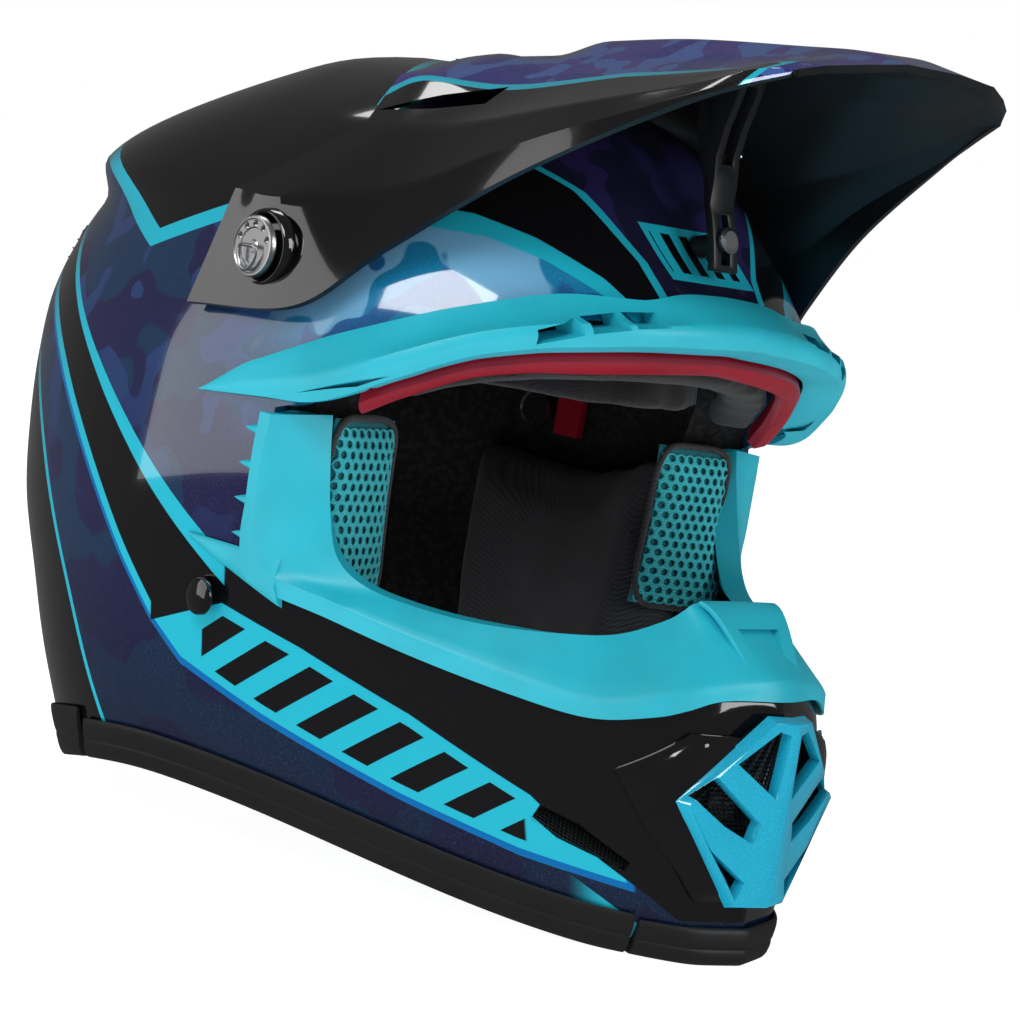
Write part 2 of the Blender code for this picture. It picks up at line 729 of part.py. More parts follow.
def centre_ring(radius, distance):
    """A ring across the centre screw's axis; distance is from the pivots, or a rule for each point."""
    ring = []
    for k in range(20):
        turn = 2 * math.pi * k / 20
        sideways = radius * math.sin(turn)
        away = distance(sideways) if callable(distance) else distance
        ring.append((radius * math.cos(turn), *about_pivot(away, CENTRE_TURN, sideways)))
    return ring


def forehead_distance(sideways):
    """How far from the pivots a line beside the centre screw's axis meets the forehead."""
    low, high = 50.0, TONGUE_INSIDE
    for _ in range(30):
        middle = (low + high) / 2
        y, z = about_pivot(middle, CENTRE_TURN, sideways)
        if y > wall(180, z)[1]:
            low = middle
        else:
            high = middle
    return high + 2 * GAP


def build_centre_screw(materials):
    boss = [centre_ring(CENTRE_BOSS, forehead_distance), centre_ring(CENTRE_BOSS - 0.6, TONGUE_INSIDE - 0.9)]
    make("visor_centre_boss", *loft(boss), materials["black_plastic"])
    head = TONGUE_OUTSIDE + 0.4
    screw = [
        centre_ring(CENTRE_PIN, TONGUE_INSIDE - 0.5), centre_ring(CENTRE_PIN, head),
        centre_ring(CENTRE_HEAD, head), centre_ring(CENTRE_HEAD, head + 1.4),
        centre_ring(CENTRE_HEAD - 1.4, head + 2.2),
    ]
    make("visor_centre_screw", *loft(screw), materials["steel"])


# ---------------------------------------------------------------- padding

CHEEK_ENDS = (64, 123)
CHEEK_INSIDE = 52


def cheek_section(angle):
    """Heights and depths around a cheek pad, which rises towards the face opening."""
    low = rim_height(angle) + 9
    front = float(smooth_step(90, CHEEK_ENDS[1], angle))
    top = 138 + 12 * front
    return (
        (low + 4, liner_depth(low) + 0.8), (70, 22.8), (104, 24.5), (top - 8, liner_depth(top) + 0.8),
        (top, 42), (top - 6, 50), (105, CHEEK_INSIDE), (60, 50 + 3 * front), (low + 8, 47), (low, 36),
    )


def build_cheek_pads(materials):
    """A thick pad each side, with a window of spacer mesh on its end at the face opening."""
    pad = []
    for angle in np.linspace(*CHEEK_ENDS, 11):
        pad.append([wall(angle, h, d) for h, d in cheek_section(angle)])
    mesh = []
    for h in (96, 110, 124, 136, 145):
        outside = 27 + max(h - 120, 0) * 0.5
        corners = ((0.5, outside), (1.9, outside), (1.9, 46), (0.5, 46))
        mesh.append([wall(CHEEK_ENDS[1] + turn, h, d) for turn, d in corners])
    for name, turn in (("left", list), ("right", mirrored)):
        points, faces = loft(pad)
        make(f"cheek_pad_{name}", turn(points), faces, materials["pad"])
        points, faces = loft(mesh)
        make(f"cheek_mesh_{name}", turn(points), faces, materials["cyan_mesh"])


def build_neck_roll(material):
    """Padded roll along the nape."""
    rings = []
    for angle in np.linspace(-56, 56, 17):
        base = rim_height(angle) + 6
        section = ((base + 2, 23.5), (base + 16, 24), (base + 20, 34), (base + 12, 42), (base, 36))
        rings.append([wall(angle, h, d) for h, d in section])
    make("neck_roll", *loft(rings), material)


def slab(stations, half, thin):
    """A strap through stations of x, y, z and the direction of its thickness."""
    rings = []
    for (x, y, z), (nx, ny, nz) in stations:
        offsets = ((-half, 0), (half, 0), (half, thin), (-half, thin))
        rings.append([(x + nx * t, y + w, z + nz * t) for w, t in offsets])
    return loft(rings)


ANCHOR = (-8.0, 85.0)  # y, z of the chin strap's rivets
STRAP_HALF = 10.0
STRAP_THICK = 1.8


def strap_x(z, inset):
    """Half width inside the shell at the straps' forward edge; they lean in towards the rim."""
    return surface_x(ANCHOR[0] - STRAP_HALF, z, inset + 0.05 * max(ANCHOR[1] - z, 0))


STRAP_DEPTH = 7.2


def build_anchors(materials):
    """Rivet caps outside and the hanger plates that they hold inside."""
    x = surface_x(ANCHOR[0] + 6, ANCHOR[1] + 6) + 0.5
    cap = ((x, 6.0), (x + 1.0, 5.8), (x + 2.2, 4.2), (x + 2.7, 1.5))
    plate = []
    for z in (ANCHOR[1] - 9, ANCHOR[1] + 9):
        outside = strap_x(z, SHELL_WALL + 1.0)
        inside = strap_x(z, SHELL_WALL + 2.2)
        corners = ((-9, outside), (9, outside), (9, inside), (-9, inside))
        plate.append([(depth, ANCHOR[0] + across, z) for across, depth in corners])
    for side, name, turn in ((-1, "right", mirrored), (1, "left", list)):
        make(f"strap_rivet_cap_{name}", *turned(cap, 24, *ANCHOR, side), materials["black_plastic"])
        points, faces = loft(plate)
        make(f"strap_hanger_{name}", turn(points), faces, materials["steel"])


def build_straps(material):
    """The left strap hangs to the D-rings, the right one is folded up on itself."""
    down = [((strap_x(z, STRAP_DEPTH), ANCHOR[0], z), (-1, 0, 0)) for z in (92, 78, 62, 46, 30, 24)]
    make("chin_strap_left", *slab(down, STRAP_HALF, STRAP_THICK), material)
    fold = strap_x(22, STRAP_DEPTH)
    bend = [
        ((fold, ANCHOR[0], 24), (-0.9, 0, 0.3)),
        ((fold - 2.2, ANCHOR[0], 20.2), (-0.2, 0, 1)),
        ((fold - 5.4, ANCHOR[0], 22.4), (0.6, 0, 0.8)),
    ]
    up = []
    for z in (30, 46, 62, 76):
        up.append(((strap_x(z, STRAP_DEPTH + 3.2) - STRAP_THICK, ANCHOR[0], z), (1, 0, 0)))
    points, faces = slab(down[:-1] + bend + up, STRAP_HALF, STRAP_THICK)
    make("chin_strap_right", mirrored(points), faces, material)


def build_d_rings(material):
    """Two rings in the loop of the left strap."""
    hinge_x = strap_x(24, STRAP_DEPTH) - STRAP_THICK / 2
    for number, across in ((1, 0.3), (2, -4.6)):
        build_d_ring(f"d_ring_{number}", hinge_x + across, material)


D_RING_TOP = 20.5
D_RING_WIRE = 1.6
D_RING_HALF = 11.0
D_RING_DROP = 4.0
D_RING_BOW = 9.0


def build_d_ring(name, x, material):
    """A D of round wire, straight side up, hanging in the loop of the left strap."""
    path = [(-D_RING_HALF, 0), (D_RING_HALF, 0)]
    for t in np.linspace(0, math.pi, 9):
        path.append((D_RING_HALF * math.cos(t), -D_RING_DROP - D_RING_BOW * math.sin(t)))
    rings = []
    count = len(path)
    for k, (y, z) in enumerate(path):
        before = path[k - 1]
        after = path[(k + 1) % count]
        ahead = np.array((after[0] - before[0], after[1] - before[1]), float)
        ahead /= np.linalg.norm(ahead)
        normal = np.array((-ahead[1], ahead[0]))
        ring = []
        for t in range(6):
            turn = 2 * math.pi * t / 6
            off = D_RING_WIRE * math.cos(turn)
            beside = x + D_RING_WIRE * math.sin(turn)
            ring.append((beside, ANCHOR[0] + y + normal[0] * off, D_RING_TOP + z + normal[1] * off))
        rings.append(ring)
    make(name, *loft(rings, closed=True), material, (x, ANCHOR[0], D_RING_TOP))


def surface_x_back(y, z, inset=0.0):
    """Half width of the shell at a place seen from the side, behind its widest point."""
    low, high = 0.0, 90.0
    for _ in range(40):
        middle = (low + high) / 2
        if wall(middle, z, inset)[1] > y:
            low = middle
        else:
            high = middle
    return wall(high, z, inset)[0]


MAGNET = (58.0, 150.0)  # y, z of the magnet cups
MAGNET_RADIUS = 9.0
TAB_OUTLINE = ((34, 142), (34, 158), (41, 164), (47, 158), (47, 142))
TAB_TOP = (40, 164)
TAB_THICK = 3.0


def build_pad_magnets(materials):
    """Magnet cup on the liner's side and the red holder of the emergency release beside it."""
    y, z = MAGNET
    x = surface_x_back(y + MAGNET_RADIUS, z + MAGNET_RADIUS, liner_depth(z)) - 1.5
    cup = ((x, MAGNET_RADIUS), (x - 3.0, MAGNET_RADIUS), (x - 3.0, 6.5), (x - 2.0, 6.0))
    tab_x = surface_x_back(*TAB_TOP, liner_depth(TAB_TOP[1])) - 1.0
    for side, name, turn in ((-1, "right", mirrored), (1, "left", list)):
        make(f"pad_magnet_{name}", *turned(cup, 24, y, z, side), materials["steel"])
        points, faces = side_prism(TAB_OUTLINE, tab_x - TAB_THICK, tab_x)
        make(f"release_tab_{name}", turn(points), faces, materials["red"])


def build_rear_vents(material):
    """Exhaust grilles under the rear spoiler."""
    for side, name in ((-1, "right"), (1, "left")):
        def span(height, side=side):
            edges = (side * 14, side * (40 + (height - 180) * 0.3))
            return min(edges), max(edges)
        make(f"rear_exhaust_{name}", *patch(span, (176, 184, 192), 6, -1.8, -GAP), material)


def main():
    clear_scene()
    materials = {
        "shell": finish("shell_paint", NAVY, 0.12),
        "black_gloss": finish("black_gloss", GLOSS_BLACK, 0.08),
        "black_plastic": finish("black_plastic", RUBBER_BLACK, 0.45),
        "rubber": finish("rim_rubber", RUBBER_BLACK, 0.55),
        "foam": finish("expanded_foam", FOAM_GREY, 0.85),
        "pad": finish("pad_fabric", CHARCOAL, 0.9),
        "webbing": finish("strap_webbing", CHARCOAL, 0.8),
        "cyan": finish("cyan_plastic", CYAN, 0.35),
        "cyan_gloss": finish("cyan_gloss", CYAN, 0.12),
        "cyan_mesh": finish("cyan_spacer_mesh", CYAN, 0.7),
        "wire_mesh": finish("vent_mesh", RUBBER_BLACK, 0.6),
        "red": finish("red_plastic", RED, 0.4),
        "steel": finish("steel", STEEL, 0.25, 1.0),
    }
    build_shell(materials["shell"])
    build_liner(materials["foam"])
    build_crown_pad(materials["pad"])
    build_chin_liner(materials["foam"])
    build_brow_pad(materials["pad"])
    build_brow_guard(materials["red"])
    build_brow_trim(materials["cyan"])
    build_face_frame(materials["cyan"])
    build_mouth_housing(materials["black_gloss"])
    build_mouth_vent(materials)
    build_side_vents(materials["wire_mesh"])
    build_rim_trim("neck_rim_trim", -84, 84, materials["rubber"], 17)
    build_rim_trim("side_rim_trim_left", 86, 153, materials["rubber"])
    build_rim_trim("side_rim_trim_right", 207, 274, materials["rubber"])
    build_rim_trim("chin_rim_trim", 155, 205, materials["rubber"], 12)
    build_visor(materials["black_gloss"])
    build_side_screws(materials)
    build_centre_post(materials["black_gloss"])
    build_centre_screw(materials)
    build_cheek_pads(materials)
    build_neck_roll(materials["pad"])
    build_anchors(materials)
    build_straps(materials["webbing"])
    build_d_rings(materials["steel"])
    build_pad_magnets(materials)
    build_rear_vents(materials["black_plastic"])


main()
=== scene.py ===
# %% [markdown]
# # A motocross helmet
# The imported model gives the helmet's bodies, joints and plain solids, and this lesson gives it its looks. Each step says
# what a piece is on a real helmet, how it could be made in Blender, and why the way below was chosen.
# The helmet looks along -Y, the wearer's left is +X, and lengths in the tables are millimetres.

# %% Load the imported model
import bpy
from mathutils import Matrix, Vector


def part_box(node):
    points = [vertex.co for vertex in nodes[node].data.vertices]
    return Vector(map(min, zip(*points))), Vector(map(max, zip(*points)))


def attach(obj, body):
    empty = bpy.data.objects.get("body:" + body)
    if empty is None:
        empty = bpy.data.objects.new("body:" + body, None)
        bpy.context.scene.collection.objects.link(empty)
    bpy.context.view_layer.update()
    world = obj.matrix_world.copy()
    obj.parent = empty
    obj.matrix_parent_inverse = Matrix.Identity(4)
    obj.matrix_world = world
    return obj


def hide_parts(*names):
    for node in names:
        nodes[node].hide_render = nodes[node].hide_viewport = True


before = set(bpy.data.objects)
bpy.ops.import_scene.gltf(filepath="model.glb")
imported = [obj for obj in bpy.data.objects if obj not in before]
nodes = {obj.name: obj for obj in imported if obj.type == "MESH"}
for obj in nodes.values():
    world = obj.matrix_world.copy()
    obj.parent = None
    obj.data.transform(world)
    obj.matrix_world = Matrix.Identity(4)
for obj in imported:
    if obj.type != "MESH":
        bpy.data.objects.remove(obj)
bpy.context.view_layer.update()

# %% Tools used all through
import math
import bmesh
import bpy
import numpy as np

MM = 0.001
SIDES = ((-1, "right"), (1, "left"))  # the sign of x, and the wearer's side


def only(thing):
    """Deselects everything, then selects one object and makes it active."""
    bpy.ops.object.select_all(action="DESELECT")
    thing.select_set(True)
    bpy.context.view_layer.objects.active = thing


def edit(thing, *steps):
    """Runs operators in edit mode with all of the object's mesh selected."""
    only(thing)
    bpy.ops.object.mode_set(mode="EDIT")
    bpy.ops.mesh.select_all(action="SELECT")
    for step in steps:
        step()
    bpy.ops.object.mode_set(mode="OBJECT")


def modify(thing, kind, **settings):
    """Adds a modifier and applies it."""
    only(thing)
    modifier = thing.modifiers.new(kind.lower(), kind)
    for key, value in settings.items():
        setattr(modifier, key, value)
    bpy.ops.object.modifier_apply(modifier=modifier.name)


def join(first, others):
    """Joins other objects into the first."""
    only(first)
    for one in others:
        one.select_set(True)
    bpy.ops.object.join()


def points_of(thing):
    """The x, y and z of every point of a mesh, in one row."""
    flat = np.empty(len(thing.data.vertices) * 3)
    thing.data.vertices.foreach_get("co", flat)
    return flat


def put_points(thing, flat):
    thing.data.vertices.foreach_set("co", flat)
    thing.data.update()


def facing_out():
    bpy.ops.mesh.normals_make_consistent(inside=False)


def merge():
    bpy.ops.mesh.remove_doubles(threshold=1e-6)


def smooth(thing, angle=35):
    only(thing)
    bpy.ops.object.shade_smooth_by_angle(angle=math.radians(angle))


# %% [markdown]
# ## The shell's surface
# A helmet shell is drawn as level sections, each a little ellipse-like curve, with a smooth skin through them. Sculpting
# it would give no numbers to build on. A rule that turns an angle and a height into a point lets every trim, pad and
# painted line sit on the same surface, so the rule comes first.

# %% Level sections and the rule for a point
# Height, half width, y of the widest point, front, back, power of the front curve, power of the back curve.
SECTIONS = np.array([
    (0, 107, 44, -165, 122, 1.40, 2.00), (20, 113, 42, -169, 135, 1.42, 2.05),
    (45, 119.5, 40, -171, 149, 1.49, 2.10), (70, 123.5, 38, -166, 161, 1.54, 2.15),
    (95, 126.3, 36, -151, 172, 1.66, 2.22), (120, 127.2, 34, -134, 177, 1.90, 2.25),
    (145, 126.3, 33, -125, 179, 2.03, 2.28), (170, 123, 33, -118.5, 177.5, 2.07, 2.30),
    (195, 114.5, 34, -109, 170, 2.18, 2.25), (219, 102, 36, -89, 154, 2.36, 2.20),
    (240, 85, 39, -75, 131, 2.28, 2.15), (257, 63, 42, -56.5, 105, 2.42, 2.10),
    (269, 36, 45, -16, 77, 2.24, 2.10), (274, 0, 45, 45, 45, 2.10, 2.10),
])
CROWN = 274
PIVOT = (-9.0, 200.0)  # y, z of the visor's side screws
ANCHOR = (-8.0, 85.0)  # y, z of the chin strap's rivets
NOSE_Y, NOSE_FOLD = -157.5, 0.27  # the chin's blunt front, and how fast it falls back to the sides


def through(rows, at):
    """Catmull-Rom curve through rows that have one more row at each end."""
    at = np.clip(np.asarray(at, float), 0, len(rows) - 3)
    start = np.minimum(at.astype(int), len(rows) - 4)
    t = (at - start)[..., None]
    p0, p1, p2, p3 = (rows[start + k] for k in range(4))
    return 0.5 * (2 * p1 + (p2 - p0) * t + (2 * p0 - 5 * p1 + 4 * p2 - p3) * t**2
                  + (3 * p1 - p0 - 3 * p2 + p3) * t**3)


def spline(rows, at, mirror=False):
    """Curve through the rows; past the last one it goes on straight, or as its own mirror image."""
    rows = np.asarray(rows, float)
    after = rows[-2].copy() if mirror else 2 * rows[-1] - rows[-2]
    if mirror:
        after[1] = 2 * rows[-1][1] - rows[-2][1]
    return through(np.vstack([2 * rows[0] - rows[1], rows, after]), at)


LEVELS = np.linspace(0, len(SECTIONS) - 1, 1301)
HEIGHTS = np.maximum.accumulate(spline(SECTIONS, LEVELS, True)[:, 0])


def ease(low, high, value):
    t = np.clip((value - low) / (high - low), 0, 1)
    return t * t * (3 - 2 * t)


def wall(angle, height, inset=0.0):
    """Points of the shell's outside, or of that surface shrunk by about inset; 0 degrees is the back."""
    angle, height, inset = np.broadcast_arrays(
        np.asarray(angle, float), height, np.asarray(inset, float))
    rows = spline(SECTIONS, np.interp(height, HEIGHTS, LEVELS), True)
    z, width, y_wide, front, back, power_front, power_back = np.moveaxis(rows, -1, 0)
    side, ahead = np.sin(np.radians(angle)), np.cos(np.radians(angle))
    power = np.where(ahead >= 0, power_back, power_front)
    x = width * np.sign(side) * np.abs(side) ** (2 / power)
    y = y_wide + (np.where(ahead >= 0, back, front) - y_wide) * np.abs(ahead) ** (2 / power)
    nose = NOSE_Y + NOSE_FOLD * np.abs(x)
    y = 0.5 * (y + nose + np.hypot(y - nose, 2))
    turn = np.abs((angle + 180) % 360 - 180)
    spoiler = 13 * ease(92, 40, turn) * (1 - 0.35 * ease(24, 4, turn))
    spoiler = spoiler * ease(264, 222, z) * (1 - ease(220, 202, z))
    spoiler = np.where(inset < 1, spoiler, 0)
    x = (x + spoiler * side) * (1 - inset / 127)
    y = 28 + (y + spoiler * ahead - 28) * (1 - inset / 140)
    z = np.where(z > 160, 160 + (z - 160) * (1 - inset / 114), z)
    return np.stack([x, y, z], -1)


def rim_height(angle):
    """The lower rim arches over the shoulders and lies flat at the chin and the nape."""
    y = wall(angle, 10)[..., 1]
    turn = np.minimum(np.abs(y - 15) / np.where(y > 15, 118, 170), 1) * math.pi / 2
    return np.maximum(20 * np.cos(turn) ** 2 - 1, 0)


def on_side(y, z, inset=0.0):
    """The point of the shell's left side, ahead of its widest, at a place seen from the side."""
    low, high = 90.0, 180.0
    for _ in range(40):
        middle = (low + high) / 2
        if wall(middle, z, inset)[1] > y:
            low = middle
        else:
            high = middle
    return wall((low + high) / 2, z, inset)


print("shell at its widest:", wall(90, 120).round(1))


# %% [markdown]
# ## Sheets, lofts and prisms
# Three shapes make most pieces: a sheet laid on a rule, a skin through rings, and a cutter with a flat outline. The
# sheet and the skin start as a grid primitive whose points are put where the rule says, and edit-mode operators then
# close it. Creases keep the edges that should stay crisp when a subdivision surface rounds the rest.

# %% Three ways to shape a piece
def sheet(name, across, along, place, uv=None):
    """A grid primitive laid where place(u, v) says, in millimetres; u and v run from 0 to 1."""
    bpy.ops.object.select_all(action="DESELECT")
    bpy.ops.mesh.primitive_grid_add(x_subdivisions=across, y_subdivisions=along, size=1)
    thing = bpy.context.object
    thing.name = thing.data.name = name
    flat = points_of(thing)
    u = np.rint((flat[0::3] + 0.5) * across) / across
    v = np.rint((flat[1::3] + 0.5) * along) / along
    put_points(thing, (np.asarray(place(u, v), float) * MM).ravel())
    if not uv:
        while thing.data.uv_layers:
            thing.data.uv_layers.remove(thing.data.uv_layers[0])
    return thing, u, v


def loft(name, rings, sharp=(), levels=2, closed=False):
    """A skin through rings of equal length; sharp lists the points of a ring that run along crisp edges."""
    rings = np.asarray(rings, float)
    many, count = rings.shape[:2]
    along = many if closed else many - 1

    def place(u, v):
        ring = np.rint(v * along).astype(int) % many
        return rings[ring, np.rint(u * count).astype(int) % count]

    thing, u, v = sheet(name, count, along, place)
    column = np.rint(u * count).astype(int) % count
    row = np.rint(v * along).astype(int)
    crease = thing.data.attributes.new("crease_edge", "FLOAT", "EDGE")
    ends = np.empty(len(thing.data.edges) * 2, int)
    thing.data.edges.foreach_get("vertices", ends)
    a, b = ends[0::2], ends[1::2]
    crisp = (column[a] == column[b]) & np.isin(column[a], list(sharp))
    if not closed:
        crisp |= (row[a] == row[b]) & np.isin(row[a], (0, along))
    crease.data.foreach_set("value", np.where(crisp, 0.9, 0.0).astype(np.float32))

    def cap():
        if not closed:
            bpy.ops.mesh.select_all(action="DESELECT")
            bpy.ops.mesh.select_mode(type="EDGE")
            bpy.ops.mesh.select_non_manifold()
            bpy.ops.mesh.edge_face_add()
        bpy.ops.mesh.select_all(action="SELECT")

    edit(thing, merge, cap, facing_out)
    if levels:
        modify(thing, "SUBSURF", levels=levels, render_levels=levels)
    return thing


def prism(name, outline, low, high, axis="X", flare=1.0):
    """A flat outline extruded along X or Y; flare widens its far end."""
    bpy.ops.object.select_all(action="DESELECT")
    bpy.ops.mesh.primitive_circle_add(vertices=len(outline), radius=1, fill_type="NGON")
    thing = bpy.context.object
    thing.name = thing.data.name = name
    for vertex, (a, b) in zip(thing.data.vertices, outline):
        vertex.co = np.array((low, a, b) if axis == "X" else (a, low, b)) * MM
    shift = (high - low) * MM
    move = (shift, 0, 0) if axis == "X" else (0, shift, 0)
    middle = np.mean(outline, axis=0) * MM
    centre = (0, *middle) if axis == "X" else (middle[0], 0, middle[1])

    def pull():
        bpy.ops.mesh.extrude_region_move(TRANSFORM_OT_translate={"value": move})
        bpy.ops.transform.resize(
            value=(1, flare, flare) if axis == "X" else (flare, 1, flare), center_override=centre)
        bpy.ops.mesh.select_all(action="SELECT")

    edit(thing, pull, facing_out)
    return thing


def cut(thing, cutter):
    """Takes a cutter out of a piece, and throws the cutter away."""
    modify(thing, "BOOLEAN", operation="DIFFERENCE", object=cutter, solver="EXACT")
    bpy.data.objects.remove(cutter, do_unlink=True)


def bevel(thing, width, angle):
    modify(thing, "BEVEL", width=width * MM, segments=2, limit_method="ANGLE",
           angle_limit=math.radians(angle))


def mirrored_copy(thing, name):
    """A copy with its own mesh, on the other side."""
    other = thing.copy()
    other.data = thing.data.copy()
    other.name = other.data.name = name
    bpy.context.scene.collection.objects.link(other)
    flat = points_of(other)
    flat[0::3] *= -1
    other.data.flip_normals()
    put_points(other, flat)
    return other


def circle(y, z, radius, count):
    """Points around a circle, seen from the side."""
    return [(y + radius * math.cos(turn), z + radius * math.sin(turn))
            for turn in np.linspace(0, 2 * math.pi, count, endpoint=False)]


def lathe(name, profile, y, z, side, count=48, levels=0, closed=False):
    """A round piece on an axis along X, from pairs of x and radius."""
    rings = [[(side * x, *point) for point in circle(y, z, radius, count)] for x, radius in profile]
    return loft(name, rings, levels=levels, closed=closed)


def round_bar(name, path, radius, sides=10, closed=False):
    """A round bar along a path of points, in millimetres."""
    path = np.asarray(path, float)
    ahead = np.roll(path, -1, 0) - np.roll(path, 1, 0) if closed else np.gradient(path, axis=0)
    ahead /= np.linalg.norm(ahead, axis=1)[:, None]
    spin = np.cross(ahead, ahead[0] + (0.3, 0.5, 0.8))
    first = np.cross(ahead, (0.31, 0.12, 0.94))
    first = np.where(np.linalg.norm(first, axis=1)[:, None] < 0.05, spin, first)
    first /= np.linalg.norm(first, axis=1)[:, None]
    second = np.cross(ahead, first)
    turns = np.linspace(0, 2 * math.pi, sides, endpoint=False)
    around = (np.cos(turns)[None, :, None] * first[:, None]
              + np.sin(turns)[None, :, None] * second[:, None])
    rings = path[:, None] + radius * around
    return loft(name, rings, levels=1, closed=closed)


def finish_piece(thing, body, slot, material, *replaced, angle=35):
    """Gives a piece its finish, and says what it rides on and which plain solids it stands for."""
    thing.data.materials.clear()
    thing.data.materials.append(material.material)
    smooth(thing, angle)
    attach(thing, body)
    if replaced:
        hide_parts(*replaced)
    print(thing.name, len(thing.data.polygons), "faces")
    return thing


# %% [markdown]
# ## Shader maths as expressions
# A node tree for paint lines is long when each sum is wired by hand. A small class wraps a number's socket and lets
# ordinary expressions add the Math nodes, and another holds one material's tree.

# %% The two classes
class Number:
    """A number on its way through a material."""

    def __init__(self, finish, socket):
        self.finish = finish
        self.socket = socket

    def math(self, operation, *others):
        return self.finish.number(operation, self, *others)

    def __add__(self, other):
        return self.math("ADD", other)

    def __sub__(self, other):
        return self.math("SUBTRACT", other)

    def __mul__(self, other):
        return self.math("MULTIPLY", other)

    def __truediv__(self, other):
        return self.math("DIVIDE", other)

    def __radd__(self, other):
        return self.finish.number("ADD", other, self)

    def __rsub__(self, other):
        return self.finish.number("SUBTRACT", other, self)

    def __rmul__(self, other):
        return self.finish.number("MULTIPLY", other, self)

    def __abs__(self):
        return self.math("ABSOLUTE")

    def rise(self, low, high):
        """0 at low, 1 at high, with a soft start and end."""
        node = self.finish.node("ShaderNodeMapRange", {"interpolation_type": "SMOOTHSTEP"},
                                {"Value": self, "From Min": low, "From Max": high})
        return Number(self.finish, node.outputs[0])

    def over(self, limit, soft=0.15):
        """1 where the number is above the limit."""
        return (self - limit).rise(-soft, soft)

    def profile(self, knots):
        """A curve of this number, straight between knots of place and value."""
        places = [place for place, _ in knots]
        values = [value for _, value in knots]
        low, high = min(places), max(places)
        bottom, top = min(values), max(values)
        along = self.finish.node("ShaderNodeMapRange", {},
                                 {"Value": self, "From Min": low, "From Max": high})
        ramp = self.finish.tree.nodes.new("ShaderNodeValToRGB")
        stops = ramp.color_ramp.elements
        while len(stops) < len(knots):
            stops.new(0.5)
        for stop, (place, value) in zip(stops, sorted(knots)):
            stop.position = (place - low) / (high - low)
            level = (value - bottom) / (top - bottom)
            stop.color = (level, level, level, 1)
        self.finish.tree.links.new(along.outputs[0], ramp.inputs[0])
        return Number(self.finish, ramp.outputs[0]) * (top - bottom) + bottom


class Finish:
    """One material: a Principled shader and the nodes that feed it."""

    def __init__(self, name, colour=(0.5, 0.5, 0.5), roughness=0.5, **fixed):
        self.material = bpy.data.materials.new(name)
        self.material.use_nodes = True
        self.tree = self.material.node_tree
        self.shader = self.tree.nodes["Principled BSDF"]
        self.shader.inputs["Base Color"].default_value = (*colour, 1)
        self.shader.inputs["Roughness"].default_value = roughness
        for key, value in fixed.items():
            self.shader.inputs[key.replace("_", " ")].default_value = value
        self.colour = colour
        self.place = self.node("ShaderNodeTexCoord").outputs["Object"]
        self.material.diffuse_color = (*colour, 1)

    def node(self, kind, settings=(), values=()):
        node = self.tree.nodes.new(kind)
        for key, value in dict(settings).items():
            setattr(node, key, value)
        pairs = values.items() if isinstance(values, dict) else enumerate(values)
        for key, value in pairs:
            value = value.socket if isinstance(value, Number) else value
            if isinstance(value, bpy.types.NodeSocket):
                self.tree.links.new(value, node.inputs[key])
            else:
                node.inputs[key].default_value = value
        return node

    def number(self, operation, *values):
        return Number(self, self.node("ShaderNodeMath", {"operation": operation}, values).outputs[0])

    def axes(self):
        """The three coordinates, in millimetres."""
        split = self.node("ShaderNodeSeparateXYZ", {}, [self.place])
        return [Number(self, out) * 1000 for out in split.outputs]

    def noise(self, scale, detail=2.0, rough=0.5, place=None):
        node = self.node("ShaderNodeTexNoise", {}, {
            "Vector": place or self.place, "Scale": scale, "Detail": detail, "Roughness": rough})
        return Number(self, node.outputs[0])

    def cells(self, scale):
        node = self.node("ShaderNodeTexVoronoi", {}, {"Vector": self.place, "Scale": scale})
        return Number(self, node.outputs["Distance"])

    def mix(self, below, above, mask):
        """One colour laid over another where the mask is 1."""
        sockets = {0: mask, 6: below, 7: above}
        for key in (6, 7):
            if isinstance(sockets[key], tuple):
                sockets[key] = (*sockets[key], 1)
        return self.node("ShaderNodeMix", {"data_type": "RGBA"}, sockets).outputs[2]

    def lay(self, colour, mask):
        """Lays a colour over what the paint shows so far."""
        self.colour = self.mix(self.colour, colour, mask)

    def give(self, **inputs):
        """Links what changes over the surface to the shader."""
        for key, value in inputs.items():
            socket = value.socket if isinstance(value, Number) else value
            self.tree.links.new(socket, self.shader.inputs[key.replace("_", " ")])

    def bump(self, height, distance, strength=1.0):
        node = self.node("ShaderNodeBump", {},
                         {"Height": height, "Distance": distance, "Strength": strength})
        self.tree.links.new(node.outputs[0], self.shader.inputs["Normal"])


def either(a, b):
    return a.math("MAXIMUM", b)


print("shader tools ready")

# %% [markdown]
# ## The shell's paint
# The real shell is painted in camouflage under clear lacquer, with long cyan lines and black wedges. Decals could be
# drawn on separate meshes, but one paint material reads the helmet's own coordinates, so every line stays put on the
# surface. Each line is a curve of height against y, seen from the side, and colours are laid over each other.

# %% Shell paint
CYAN = (0.015, 0.47, 0.62)
BLACK = (0.0035, 0.0035, 0.0045)
NAVY = (0.008, 0.012, 0.05)
BLUE = (0, 0.14, 0.42)


